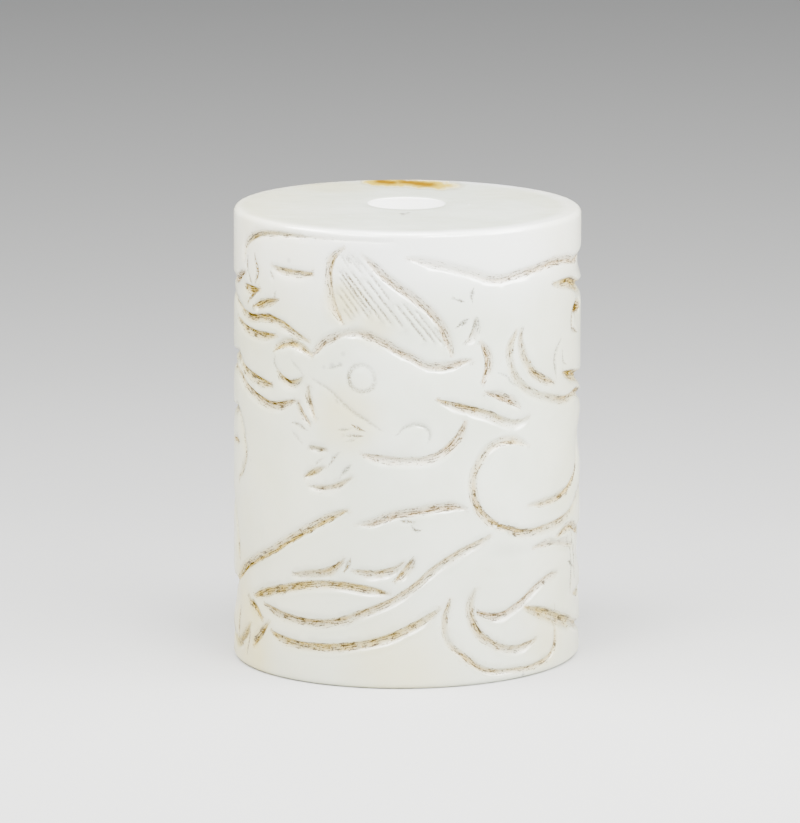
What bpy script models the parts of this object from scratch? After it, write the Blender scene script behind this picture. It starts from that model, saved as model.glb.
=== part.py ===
"""A carved white jade cylinder bead, one solid in metres.

It stands on its flat base at z = 0 with its bore plumb, and the dragon's head faces -Y.
The side is drawn unrolled, as a sheet: u runs to the right of the front, z up from the base.
Every cut is a smooth line on that sheet, and the surface sinks under it by the cut's own section.
"""

import math

import bmesh
import bpy
import numpy as np
from mathutils import Vector
from mathutils.geometry import delaunay_2d_cdt

# The turned body.
TOP_RADIUS = 0.0135
BASE_RADIUS = 0.0136
HEIGHT = 0.0354  # on the bead's own axis
TOP_LEAN = 0.00041  # the top's middle stands this far towards +X of the base's middle
TOP_FALL_RIGHT = 0.0004  # the top face is this much lower at +X than at -X
TOP_FALL_FRONT = 0.0002  # and this much lower at the front than at the back
EDGE_ROUND = 0.00025
BORE_RADIUS = 0.003
BORE_X = 0.00034
BORE_Y = 0.0011
BORE_ROUND = 0.0003

# The cuts. A ledge is the ground that slopes down into a cut from one side.
WIDE_WIDTH = 0.00086
WIDE_DEPTH = 0.00036
MAIN_WIDTH = 0.00068
MAIN_DEPTH = 0.0003
THIN_WIDTH = 0.0006
THIN_DEPTH = 0.00016
LEDGE_WIDTH = 0.0016
LEDGE_DEPTH = 0.00015
RUN_OUT = 0.0012  # a cut fades to its end over this length

# How closely the surface follows the form.
RING_SIDES = 72
ROUND_STEPS = 2
CUT_STEP = 0.00115
FEWEST_STEPS = 4  # along the shortest cut
CUT_TURN = math.radians(20)
TIP_REACH = 0.0003
FIELD_STEP = 0.0019
LIP_CLEARANCE = 0.00055
NEAREST_POINTS = 0.00013
RIM_FADE = 0.0003

# The sheet that the drawing is made on, in its own millimetres.
SHEET_WIDTH = 84.8
SHEET_HEIGHT = 35.3

RIGHT_SLOPE = TOP_FALL_RIGHT / (2 * TOP_RADIUS)
FRONT_SLOPE = TOP_FALL_FRONT / (2 * TOP_RADIUS)

SECTIONS = {
    "wide": (WIDE_WIDTH, WIDE_DEPTH),
    "main": (MAIN_WIDTH, MAIN_DEPTH),
    "thin": (THIN_WIDTH, THIN_DEPTH),
}

# Each cut: its section, the side of its run that has the ledge (R, L or none), and its line.
CLOUD = [
    ("main", "R", [(-16.1, 31.8), (-15.3, 33.1), (-14, 33.95), (-12, 34.45), (-8, 34.65),
                   (-0.7, 34.7)]),
    ("main", "R", [(-11.7, 31.95), (-9.8, 31.85), (-7.5, 31.85)]),
    ("main", "R", [(-16, 30), (-14.8, 29.95), (-13.5, 29.95)]),
    ("thin", "", [(-13.6, 29.95), (-14.3, 29.5), (-15.2, 28.8)]),
    ("main", "R", [(-14.2, 28.5), (-12.6, 29.1), (-11.1, 29.5)]),
    ("main", "R", [(-17.8, 27.05), (-15.5, 26.75), (-13.5, 26.6), (-11.2, 26.7)]),
    ("thin", "", [(-14.1, 32.3), (-13.6, 31.3), (-14.1, 30.3)]),
]
HEAD = [
    ("main", "L", [(-11.5, 25.55), (-10.2, 26.15), (-9.2, 26.25), (-7.65, 25.6)]),
    ("main", "R", [(-7.65, 25.6), (-6.3, 26.75), (-4, 27.6), (-2.4, 27.1), (0, 25.9), (1.8, 25.05),
                   (4.9, 25.45)]),
    ("main", "R", [(-11.1, 24), (-10, 23.4), (-9.2, 23.35), (-8.5, 23.8)]),
    ("main", "L", [(-8, 23.2), (-7.9, 22.4), (-7.6, 21.4), (-7.4, 20.7)]),
    ("main", "R", [(-8.95, 21.9), (-8.4, 21), (-7.8, 20.2)]),
    ("main", "L", [(-5, 33.95), (-5.75, 33.15), (-6, 31.4), (-5.8, 30), (-5, 28.2)]),
    ("main", "R", [(-3.4, 33.5), (-1.6, 31.8), (0.5, 30.25), (2.2, 28.6), (3, 27), (3.45, 25.8)]),
    ("thin", "", [(-7.6, 23.75), (-6.3, 23.15), (-4.5, 21.75), (-2, 20.15)]),
    ("main", "L", [(-3.45, 18.25), (-2, 18.05), (0, 17.9), (1.8, 18.1), (3.5, 19.25), (4.5, 20.8)]),
    ("thin", "", [(-0.7, 19.9), (-0.1, 20.45), (1, 20.55), (1.65, 20.1), (1.6, 19.2)]),
    ("main", "R", [(-8, 18.42), (-6.4, 18.4)]),
    ("main", "R", [(-8.4, 16.1), (-7.5, 16.55), (-6.6, 17.05)]),
    ("main", "R", [(-8, 15.4), (-6.6, 15.42), (-5.2, 15.85), (-4.2, 16.45)]),
    ("thin", "", [(-5.2, 16.5), (-4.4, 17.35)]),
]
EYE_RING = (-3.5, 24.1, 0.97)  # middle and radius
MANE = [
    ("main", "R", [(5.35, 28.7), (5.05, 27.5), (4.6, 26.75)]),
    ("main", "", [(5.75, 26.8), (6.25, 25.4), (5.9, 23.5)]),
    ("main", "R", [(9.4, 27.3), (9.45, 26), (10.3, 24.3), (11.4, 23.5), (13.3, 22.75)]),
    ("main", "R", [(17.3, 27.95), (19.2, 27.8)]),
    ("thin", "", [(14.3, 26), (13.3, 24.8), (13.6, 23.1)]),
    ("main", "R", [(6.25, 22.85), (7.8, 22.2), (9.3, 21.45)]),
    ("main", "R", [(2.4, 22.45), (4, 21.98), (6, 21.35), (8.3, 20.4), (9.3, 20.3), (10.3, 20.6)]),
    ("main", "R", [(-3.9, 12.8), (-2.5, 12.95), (-1.2, 13.5), (0.7, 13.85), (3.2, 14.15),
                   (4.6, 13.95)]),
]
BODY = [
    ("main", "", [(-19.3, 17.3), (-17.8, 17.4)]),
    ("main", "R", [(-17.9, 6.5), (-16, 7.6), (-14, 8.7), (-12, 9.65), (-9, 11.4), (-6, 13.15),
                   (-4.7, 13.85)]),
    ("main", "R", [(10.2, 13.6), (12, 13.5), (15, 13.9), (17.5, 14.65), (18.5, 15.5)]),
    ("main", "R", [(10.9, 10.2), (13.2, 10.2), (15, 9.8), (17, 9.2)]),
]
CLAWS = [
    ("main", "R", [(-9.4, 8.4), (-7.5, 8.8), (-6.2, 9.05), (-4.95, 9.9)]),
    ("thin", "", [(-4.85, 9.1), (-4.35, 10.05)]),
    ("main", "R", [(-4.2, 9.2), (-2.3, 9.12), (-1, 9.45), (-0.15, 10.05)]),
    ("main", "R", [(-0.85, 8.5), (0.55, 10.3)]),
    ("main", "R", [(-14.2, 5.95), (-12.5, 6.6), (-10, 7.35), (-7.5, 7.95), (-5, 8.1), (-2.8, 7.85),
                   (-1.4, 7.55)]),
    ("main", "R", [(-12.8, 5.55), (-8, 4.95), (-5.5, 5.2), (-3.5, 5.95), (-0.7, 7.25), (3, 10.1),
                   (6.6, 11.7)]),
    ("main", "R", [(-11.7, 3.5), (-9.5, 3.15), (-7, 3.1), (-4, 3.45), (-1.5, 4.1), (0.2, 4.9),
                   (2.4, 6.2)]),
    ("main", "R", [(-15, 5.5), (-14, 5.15), (-13.1, 4.4)]),
    ("main", "L", [(-12.15, 4.2), (-13.1, 3), (-14.3, 1.95)]),
]
CURL = [
    ("main", "", [(3.3, 6.95), (2.85, 5.3), (3.1, 3.7), (4.5, 2.3), (6, 1.2), (8.5, 0.8),
                  (11.5, 0.9), (13.1, 1.6), (13.6, 3.6)]),
    ("main", "R", [(5.35, 7.6), (4.95, 6.2), (5.35, 4.6), (6.6, 3.35), (8.5, 2.6), (11.1, 2.9)]),
    ("main", "R", [(5.5, 5.75), (7.2, 5.38), (9, 6), (11, 7.15), (12.4, 7.65), (13.8, 7.7)]),
    ("main", "R", [(17.3, 5.3), (20, 4.9), (22.5, 5.4)]),
]
BODY_LOWER_EDGE = [
    (13.7, 10.5), (15.5, 10.9), (17.2, 10.65), (19, 10), (25, 10.6), (31, 11.2), (38, 10.2),
    (45, 9.8), (53, 11.6), (59, 12.7), (64.5, 12.5), (66.4, 10.6), (67.4, 8.4),
]
# These lines run round the back, plainer there: long locks, the winding body, its tail and a hind leg.
ROUND_THE_BACK = [
    ("main", "R", [(0, 33.4), (4.5, 32.2), (6.8, 31.5), (9, 31.7), (13.6, 32.2), (17.8, 31.7),
                   (24, 31.9), (31, 30.6), (38, 30.9), (46, 32), (54, 31.2), (61, 29.9), (66, 29.9),
                   (68.9, 30.95)]),
    ("wide", "R", [(13.2, 30.5), (15, 30.5), (19, 29.6), (25, 29.3), (31, 27.7), (35, 27.1),
                   (38.5, 27.6)]),
    ("main", "R", [(43, 27.6), (43.9, 27.2), (43.8, 26.3), (42.7, 25.9), (41.7, 26.8), (42, 28.3),
                   (43.6, 29.1), (47, 28.8), (51, 29), (58, 28.1), (63, 29), (67, 28.35),
                   (70, 27.8), (73.5, 28), (76.8, 26.65)]),
    ("main", "R", [(8.9, 27.3), (8.3, 26.1), (8.35, 25), (9, 23.65), (10.3, 22.6), (12.3, 21.85),
                   (14.5, 21.35), (18, 21.35), (24, 19.9), (31, 19.3), (38, 20.2), (46, 21.9),
                   (54, 22.6), (61, 23.2), (67.3, 22.95), (69.8, 22.2), (73.4, 21.4),
                   (75.6, 21.95)]),
    ("wide", "R", [(15, 23.3), (19, 22.5), (25, 21.7), (32, 22), (40, 24.2), (48, 25.3), (57, 24.4),
                   (65, 24.1), (67.6, 24.25), (69.3, 23.6), (73, 22.8)]),
    ("main", "", [(10.1, 18.3), (8.4, 18.78), (6.8, 18.55), (5.5, 17.1), (5.15, 15.6), (5.8, 13.6),
                  (7.5, 12.2)]),
    ("main", "R", [(7.5, 12.2), (9.6, 11.65), (12, 11.65), (15, 12), (19, 13.1), (25, 15.2),
                   (31, 15.6), (38, 14.6), (45, 14.9), (53, 17.6), (59, 19.6), (64.8, 19.75),
                   (67.3, 19.95), (69.4, 17.8), (69.5, 16.4), (67.3, 14.6)]),
    ("main", "", [(36, 17.2), (39, 17.9), (42, 17.1), (44.2, 17.5), (44.6, 18.9), (43.4, 19.4),
                  (42.6, 18.7)]),
    ("main", "R", BODY_LOWER_EDGE),
    ("wide", "R", [(9.9, 5.6), (12, 4.9), (14, 4.1), (19, 2.5), (25, 2.2), (29.5, 3.4)]),
    ("main", "R", [(36.4, 5), (38.5, 4.2), (42, 3.8), (46, 4.2), (51, 3.2), (58, 2.1), (63, 2.4),
                   (67.2, 1.75), (68.7, 2.3), (70, 3.65)]),
    ("main", "L", [(35.6, 7.6), (38, 6.9), (41, 7.3), (45, 9)]),
    ("main", "R", [(36.4, 5), (35, 4.2), (34.4, 2.9)]),
    ("main", "R", [(35.7, 6.2), (34, 5.8), (32.9, 4.7)]),
    ("main", "R", [(35.6, 7.6), (33.9, 7.7), (32.5, 6.9)]),
    ("main", "R", [(46.5, 6.9), (52, 6.1), (58, 5.2), (63, 5.9), (66.9, 6.5)]),
]
# Short ticks stand in a row along the body's lower edge at the back.
TICK_FIRST_U = 24
TICK_LAST_U = 60
TICK_SPACING = 3
TICK_RISE = 1.7
TICK_SLANT = 1.2
TICK_GAP = 0.8
TICK_POINTS = 9

# Soft hollows of the ground: middle on the sheet, reach along it and up it, in its millimetres.
HOLLOW_DEPTH = 0.00024
HOLLOWS = [
    (21.5, 31, 5, 1.3),
    (21.5, 17.4, 6, 2.3),
    (21.5, 8.2, 5.5, 2),
    (-10.5, 17.5, 5.5, 4),
    (8.5, 9.6, 4.5, 1.6),
    (50, 20, 8, 1.8),
    (63.8, 5, 6, 2.2),
]


def arc_of(u):
    """The place round the top rim, in metres, of a distance along the sheet."""
    return u / SHEET_WIDTH * 2 * math.pi * TOP_RADIUS


def height_of(z):
    return z / SHEET_HEIGHT * HEIGHT


def smooth_line(points):
    """A curve through the points, as Blender's own curve draws it, with even small steps."""
    curve = bpy.data.curves.new("line", "CURVE")
    curve.resolution_u = 24
    spline = curve.splines.new("BEZIER")
    spline.bezier_points.add(len(points) - 1)
    for bezier_point, (u, z) in zip(spline.bezier_points, points):
        bezier_point.co = (u, z, 0)
        bezier_point.handle_left_type = "AUTO"
        bezier_point.handle_right_type = "AUTO"
    holder = bpy.data.objects.new("line", curve)
    mesh = bpy.data.meshes.new_from_object(holder)
    line = np.array([(arc_of(vert.co.x), height_of(vert.co.y)) for vert in mesh.vertices])
    bpy.data.objects.remove(holder)
    bpy.data.curves.remove(curve)
    bpy.data.meshes.remove(mesh)
    return line


def circle_line(u, z, radius, steps=40):
    turns = np.linspace(0, 2 * math.pi, steps)
    middle = np.array([arc_of(u), height_of(z)])
    return middle + arc_of(radius) * np.stack([np.cos(turns), np.sin(turns)], axis=1)


def tick_lines(lower_edge):
    """The short ticks that stand along a line, each leaning further over towards its tip."""
    lines = []
    share = np.linspace(0, 1, TICK_POINTS)
    bend = np.stack([arc_of(TICK_SLANT) * share**2, height_of(TICK_RISE) * share], axis=1)
    for u in np.arange(TICK_FIRST_U, TICK_LAST_U, TICK_SPACING):
        foot = lower_edge[np.abs(lower_edge[:, 0] - arc_of(u)).argmin()]
        lines.append(foot + (0, height_of(TICK_GAP)) + bend)
    return lines


def section_places(line):
    """The points of a line where a section is set: after a set length, or a set turn of its run."""
    whole = np.linalg.norm(np.diff(line, axis=0), axis=1).sum()
    longest = min(CUT_STEP, whole / FEWEST_STEPS)
    kept = [0]
    length = turn = 0.0
    for i in range(1, len(line) - 1):
        before, after = line[i] - line[i - 1], line[i + 1] - line[i]
        length += np.linalg.norm(before)
        turn += abs(math.atan2(before[0] * after[1] - before[1] * after[0], before @ after))
        if length > longest or turn > CUT_TURN:
            kept.append(i)
            length = turn = 0.0
    return kept + [len(line) - 1]


def make_cut(kind, ledge_side, line, closed=False):
    """The cut's line with its half width and depth at each point, smaller towards open ends."""
    width, depth = SECTIONS[kind]
    steps = np.linalg.norm(np.diff(line, axis=0), axis=1)
    along = np.concatenate([[0], np.cumsum(steps)])
    to_end = np.minimum(along, along[-1] - along)
    fade = np.ones(len(line)) if closed else np.clip(to_end / RUN_OUT, 0, 1)
    swell = np.sqrt(fade * (2 - fade))
    return {
        "line": line,
        "half": width / 2 * (0.45 + 0.55 * swell),
        "depth": depth * (0.2 + 0.8 * swell),
        "ledge": {"R": -1, "L": 1, "": 0}[ledge_side],
        "places": section_places(line),
        "closed": closed,
    }


def near_cut(cut, points):
    """How far points of the sheet lie to the left of the cut's run, and its size beside them."""
    line = cut["line"]
    middle = line[:, 0].mean()
    whole = 2 * math.pi * TOP_RADIUS
    points = points.copy()
    points[:, 0] = middle + (points[:, 0] - middle + whole / 2) % whole - whole / 2
    start = line[:-1]
    run = line[1:] - start
    length_squared = (run**2).sum(axis=1)
    offset = points[:, None, :] - start[None]
    share = np.clip((offset * run[None]).sum(axis=2) / length_squared[None], 0, 1)
    gap = offset - share[..., None] * run[None]
    distance = np.sqrt((gap**2).sum(axis=2))
    best = distance.argmin(axis=1)
    rows = np.arange(len(points))
    share = share[rows, best]
    left = run[best, 0] * gap[rows, best, 1] - run[best, 1] * gap[rows, best, 0]
    half = cut["half"][best] * (1 - share) + cut["half"][best + 1] * share
    depth = cut["depth"][best] * (1 - share) + cut["depth"][best + 1] * share
    return np.where(left < 0, -1, 1) * distance[rows, best], half, depth


def within_reach(cut, points, reach):
    """Which points can be nearer to the cut's line than the reach."""
    line = cut["line"]
    whole = 2 * math.pi * TOP_RADIUS
    middle = (line[:, 0].max() + line[:, 0].min()) / 2
    spread = (line[:, 0].max() - line[:, 0].min()) / 2 + reach
    around = np.abs((points[:, 0] - middle + whole / 2) % whole - whole / 2)
    low, high = line[:, 1].min() - reach, line[:, 1].max() + reach
    return np.flatnonzero((around < spread) & (points[:, 1] > low) & (points[:, 1] < high))


def carved_depth(cuts, points):
    """How far the surface lies under the turned body at these points of the sheet."""
    groove = np.zeros(len(points))
    ledge = np.zeros(len(points))
    for cut in cuts:
        near = within_reach(cut, points, LEDGE_WIDTH)
        if not len(near):
            continue
        across, half, depth = near_cut(cut, points[near])
        section = depth * np.clip(1 - (across / half) ** 2, 0, None)
        groove[near] = np.maximum(groove[near], section)
        if cut["ledge"]:
            across = across * cut["ledge"]
            rise = np.clip(1 + across / half, 0, 1)
            fall = np.clip(1 - across / LEDGE_WIDTH, 0, 1)
            slope = LEDGE_DEPTH * depth / MAIN_DEPTH * np.where(across < 0, rise, fall)
            ledge[near] = np.maximum(ledge[near], np.minimum(slope, LEDGE_DEPTH))
    to_rim = np.minimum(points[:, 1], HEIGHT - points[:, 1]) - EDGE_ROUND
    return (groove + ledge + hollow_depth(points)) * np.clip(to_rim / RIM_FADE, 0, 1)


def hollow_depth(points):
    deepest = np.zeros(len(points))
    whole = 2 * math.pi * TOP_RADIUS
    for u, z, reach_along, reach_up in HOLLOWS:
        along = (points[:, 0] - arc_of(u) + whole / 2) % whole - whole / 2
        up = points[:, 1] - height_of(z)
        far = (along / arc_of(reach_along)) ** 2 + (up / height_of(reach_up)) ** 2
        deepest = np.maximum(deepest, HOLLOW_DEPTH * np.clip(1 - far, 0, 1) ** 2)
    return deepest


class Sheet:
    """Points on the unrolled side, no two closer than they may be, and the edges that follow the cuts."""

    def __init__(self):
        self.points = []
        self.edges = []
        self.cells = {}

    def cell_of(self, place, reach):
        angle = place[0] / TOP_RADIUS
        solid = (TOP_RADIUS * math.cos(angle), TOP_RADIUS * math.sin(angle), place[1])
        return solid, tuple(math.floor(value / reach) for value in solid)

    def add(self, place, spacing):
        """The point's number, or that of a point already nearer than the spacing and False."""
        solid, (i, j, k) = self.cell_of(place, FIELD_STEP)
        for di in (-1, 0, 1):
            for dj in (-1, 0, 1):
                for dk in (-1, 0, 1):
                    for number, other in self.cells.get((i + di, j + dj, k + dk), ()):
                        if math.dist(solid, other) < spacing:
                            return number, False
        number = len(self.points)
        self.points.append(tuple(place))
        self.cells.setdefault((i, j, k), []).append((number, solid))
        return number, True

    def add_row(self, places, spacing, keep, join_to_near):
        last = None
        for place, kept in zip(places, keep):
            number, new = self.add(place, spacing) if kept else (None, False)
            if not (new or (join_to_near and kept)):
                last = None
                continue
            if last is not None and last != number:
                self.edges.append((last, number))
            last = number


def rows_beside(cut):
    """The lines along a cut's two lips and along the foot of its ledge, at its section places."""
    line = cut["line"]
    places = cut["places"]
    before = line[np.maximum(np.array(places) - 1, 0)]
    after = line[np.minimum(np.array(places) + 1, len(line) - 1)]
    run = after - before
    run = run / np.linalg.norm(run, axis=1)[:, None]
    left = np.stack([-run[:, 1], run[:, 0]], axis=1)
    half = cut["half"][places][:, None]
    lips = [line[places] + left * half, line[places] - left * half]
    feet = [line[places] + left * cut["ledge"] * LEDGE_WIDTH] if cut["ledge"] else []
    return lips, feet


def tips_of(cut):
    """The places just beyond the two ends of an open cut."""
    line = cut["line"]
    tips = []
    for end, inner in ((line[0], line[1]), (line[-1], line[-2])):
        tips.append(end + (end - inner) / np.linalg.norm(end - inner) * TIP_REACH)
    return np.array(tips)


def inside_rims(points):
    lowest = EDGE_ROUND + RIM_FADE
    return (points[:, 1] > lowest) & (points[:, 1] < HEIGHT - lowest)


def clear_of_others(cuts, own, points):
    """Which points lie outside every other cut, and inside the carved part of the side."""
    clear = inside_rims(points)
    for cut in cuts:
        if cut is own:
            continue
        near = within_reach(cut, points, WIDE_WIDTH)
        if len(near):
            across, half, _ = near_cut(cut, points[near])
            clear[near] &= np.abs(across) > half + NEAREST_POINTS
    return clear


def field_points(cuts):
    """Even rows of points over the plain ground, clear of every cut and its ledge."""
    field_height = HEIGHT - 2 * EDGE_ROUND
    rows = round(field_height / (FIELD_STEP * math.sqrt(3) / 2))
    columns = round(2 * math.pi * TOP_RADIUS / FIELD_STEP)
    field = []
    for row in range(1, rows):
        for column in range(columns):
            arc = 2 * math.pi * TOP_RADIUS * (column + row % 2 / 2) / columns
            field.append((arc, EDGE_ROUND + field_height * row / rows))
    field = np.array(field)
    clear = np.ones(len(field), bool)
    for cut in cuts:
        near = within_reach(cut, field, LEDGE_WIDTH + LIP_CLEARANCE)
        if len(near):
            across, half, _ = near_cut(cut, field[near])
            off_ledge = across * cut["ledge"] <= 0
            off_ledge |= across * cut["ledge"] > LEDGE_WIDTH + LIP_CLEARANCE
            clear[near] &= (np.abs(across) > half + LIP_CLEARANCE) & off_ledge
    return field[clear]


def lay_out(cuts):
    """The sheet's points: both rims, the cuts' bottoms, lips, tips and ledges, then the plain field."""
    sheet = Sheet()
    for height in (EDGE_ROUND, HEIGHT - EDGE_ROUND):
        for i in range(RING_SIDES):
            sheet.add((2 * math.pi * TOP_RADIUS * i / RING_SIDES, height), 0)
    for cut in cuts:
        bottoms = cut["line"][cut["places"]]
        sheet.add_row(bottoms, NEAREST_POINTS, inside_rims(bottoms), True)
    beside = [rows_beside(cut) for cut in cuts]
    for cut, (lips, _) in zip(cuts, beside):
        for lip in lips:
            sheet.add_row(lip, NEAREST_POINTS, clear_of_others(cuts, cut, lip), False)
    for cut in cuts:
        if not cut["closed"]:
            tips = tips_of(cut)
            for tip in tips[clear_of_others(cuts, cut, tips)]:
                sheet.add(tip, NEAREST_POINTS)
    for cut, (_, feet) in zip(cuts, beside):
        for foot in feet:
            sheet.add_row(foot, LEDGE_WIDTH / 3, clear_of_others(cuts, cut, foot), False)
    for spot in field_points(cuts):
        sheet.add(spot, FIELD_STEP / 2)
    return sheet


def join_points(sheet):
    """Triangles between the sheet's points, found on a flat ring so that the sheet has no seam."""
    first_ring = [(i, (i + 1) % RING_SIDES) for i in range(RING_SIDES)]
    second_ring = [(a + RING_SIDES, b + RING_SIDES) for a, b in first_ring]
    spots = []
    for arc, height in sheet.points:
        reach = math.exp(height / TOP_RADIUS)
        spots.append(Vector((reach * math.cos(arc / TOP_RADIUS), reach * math.sin(arc / TOP_RADIUS))))
    edges = first_ring + second_ring + sheet.edges
    found, _, faces, sources, _, _ = delaunay_2d_cdt(spots, edges, [], 0, 1e-6)
    places = []
    on_first_ring = set()
    for number, (spot, source) in enumerate(zip(found, sources)):
        if source:
            places.append(sheet.points[source[0]])
            if source[0] < RING_SIDES:
                on_first_ring.add(number)
        else:
            places.append((TOP_RADIUS * math.atan2(spot.y, spot.x), TOP_RADIUS * math.log(spot.length)))
    faces = [face for face in faces if not on_first_ring.issuperset(face)]
    return np.array(places), faces


def body_point(radius, angle, share, rise):
    """A point of the leaning body: share of the height under the sloping top, then a rise above it."""
    x = radius * math.sin(angle)
    y = -radius * math.cos(angle)
    z = share * (HEIGHT - RIGHT_SLOPE * x + FRONT_SLOPE * y) + rise
    return Vector((x + TOP_LEAN / HEIGHT * z, y, z))


def top_at(x, y):
    """The height of the top face above a point of the base's plane."""
    return (HEIGHT - RIGHT_SLOPE * x + FRONT_SLOPE * y) / (1 - RIGHT_SLOPE * TOP_LEAN / HEIGHT)


def add_side(bm, cuts):
    """The carved side, open along its two rims."""
    places, faces = join_points(lay_out(cuts))
    depths = carved_depth(cuts, places)
    verts = []
    for (arc, height), depth in zip(places, depths):
        share = (height - EDGE_ROUND) / (HEIGHT - 2 * EDGE_ROUND)
        radius = TOP_RADIUS + (BASE_RADIUS - TOP_RADIUS) * (1 - share) - depth
        rise = EDGE_ROUND * (1 - 2 * share)
        verts.append(bm.verts.new(body_point(radius, arc / TOP_RADIUS, share, rise)))
    for face in faces:
        bm.faces.new([verts[i] for i in face])


def add_ring(bm, spot_of):
    verts = [bm.verts.new(spot_of(2 * math.pi * i / RING_SIDES)) for i in range(RING_SIDES)]
    return [bm.edges.new((verts[i - 1], verts[i])) for i in range(RING_SIDES)]


def rim_rings(bm, radius, share):
    """The rings of a rounded outer rim, from the side to the flat face."""
    down = 1 if share == 0 else -1
    rings = []
    for step in range(1, ROUND_STEPS + 1):
        turn = math.pi / 2 * step / ROUND_STEPS
        inset = EDGE_ROUND * (1 - math.cos(turn))
        rise = down * EDGE_ROUND * (1 - math.sin(turn))
        rings.append(add_ring(bm, lambda angle: body_point(radius - inset, angle, share, rise)))
    return rings


def bore_rings(bm):
    """The rings of the plumb bore, from its rounded mouth in the base up to that in the top."""
    rings = []
    for at_top in (False, True):
        steps = range(ROUND_STEPS + 1)
        for step in reversed(steps) if at_top else steps:
            turn = math.pi / 2 * step / ROUND_STEPS
            radius = BORE_RADIUS + BORE_ROUND * (1 - math.sin(turn))
            sunk = BORE_ROUND * (1 - math.cos(turn))

            def spot_of(angle):
                x = BORE_X + radius * math.sin(angle)
                y = BORE_Y - radius * math.cos(angle)
                return Vector((x, y, top_at(x, y) - sunk if at_top else sunk))

            rings.append(add_ring(bm, spot_of))
    return rings


def add_rims_and_bore(bm):
    """The two rounded rims and the bore, bridged from ring to ring, and the flat faces between them."""
    open_edges = [edge for edge in bm.edges if edge.is_boundary]
    low = [edge for edge in open_edges if edge.verts[0].co.z < HEIGHT / 2]
    high = [edge for edge in open_edges if edge.verts[0].co.z > HEIGHT / 2]
    base_rim = [low] + rim_rings(bm, BASE_RADIUS, 0)
    top_rim = [high] + rim_rings(bm, TOP_RADIUS, 1)
    bore = bore_rings(bm)
    for rings in (base_rim, top_rim, bore):
        for first, second in zip(rings, rings[1:]):
            bmesh.ops.bridge_loops(bm, edges=first + second)
    for rim_edge, mouth in ((base_rim[-1], bore[0]), (top_rim[-1], bore[-1])):
        bmesh.ops.triangle_fill(bm, edges=rim_edge + mouth, use_beauty=True)


def jade():
    material = bpy.data.materials.new("white jade")
    material.use_nodes = True
    shader = material.node_tree.nodes["Principled BSDF"]
    shader.inputs["Base Color"].default_value = (0.80, 0.81, 0.74, 1)
    shader.inputs["Roughness"].default_value = 0.28
    shader.inputs["Metallic"].default_value = 0
    shader.inputs["Subsurface Weight"].default_value = 0.3
    shader.inputs["Subsurface Scale"].default_value = 0.002
    return material


def make_bead():
    groups = [CLOUD, HEAD, MANE, BODY, CLAWS, CURL, ROUND_THE_BACK]
    cuts = []
    for group in groups:
        cuts += [make_cut(kind, side, smooth_line(points)) for kind, side, points in group]
    cuts.append(make_cut("main", "", circle_line(*EYE_RING), closed=True))
    cuts += [make_cut("main", "", line) for line in tick_lines(smooth_line(BODY_LOWER_EDGE))]
    bm = bmesh.new()
    add_side(bm, cuts)
    add_rims_and_bore(bm)
    bmesh.ops.triangulate(bm, faces=bm.faces)
    bmesh.ops.recalc_face_normals(bm, faces=bm.faces)
    mesh = bpy.data.meshes.new("bead")
    bm.to_mesh(mesh)
    bm.free()
    mesh.shade_smooth()
    mesh.set_sharp_from_angle(angle=math.radians(35))
    mesh.materials.append(jade())
    return bpy.data.objects.new("bead", mesh)


for old in list(bpy.data.objects):
    bpy.data.objects.remove(old, do_unlink=True)
collection = bpy.data.collections.new("jade cylinder bead")
bpy.context.scene.collection.children.link(collection)
collection.objects.link(make_bead())
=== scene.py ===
import math

import bpy
import numpy as np
from mathutils import Matrix, Vector
from mathutils.geometry import delaunay_2d_cdt


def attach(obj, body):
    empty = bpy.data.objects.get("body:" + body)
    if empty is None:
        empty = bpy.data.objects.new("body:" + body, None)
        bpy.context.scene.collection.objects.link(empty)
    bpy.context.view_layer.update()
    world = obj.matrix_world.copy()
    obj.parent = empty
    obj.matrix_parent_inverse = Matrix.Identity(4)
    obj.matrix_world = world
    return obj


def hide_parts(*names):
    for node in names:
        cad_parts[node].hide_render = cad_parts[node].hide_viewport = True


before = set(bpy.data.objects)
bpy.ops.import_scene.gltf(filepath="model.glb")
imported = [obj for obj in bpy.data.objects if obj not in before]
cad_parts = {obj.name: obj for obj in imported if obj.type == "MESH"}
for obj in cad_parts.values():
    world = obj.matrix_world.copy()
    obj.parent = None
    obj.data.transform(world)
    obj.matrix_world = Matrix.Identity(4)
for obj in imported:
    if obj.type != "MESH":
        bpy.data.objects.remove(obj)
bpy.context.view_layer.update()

bead = {
    "topRadius": 0.0135,
    "baseRadius": 0.0136,
    "height": 0.0354,
    "topLean": 0.00041,  # the top's middle stands this far towards +X
    "fallRight": 0.0004,  # the top face drops this much to the right
    "fallFront": 0.0002,  # and this much to the front
    "edgeRound": 0.00042,
    "boreRadius": 0.003,
    "boreX": 0.00034,
    "boreY": 0.0011,
    "boreRound": 0.0001,
    "sheetWidth": 84.8,  # the drawing's own millimetres, right round the bead
    "sheetHeight": 35.3,
    "lineSteps": 24,
    "ringSides": 240,
    "roundSteps": 5,
    "topRings": 9,
    "boreRings": 9,
    "groundSpacing": 0.00036,
    "groundNearest": 0.62,  # ground points keep this share of their spacing from the rows along the cuts
    "alongSpacing": 0.0002,
    "nearestPoints": 0.00006,
    "clearOfRim": 0.00012,
}

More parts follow.
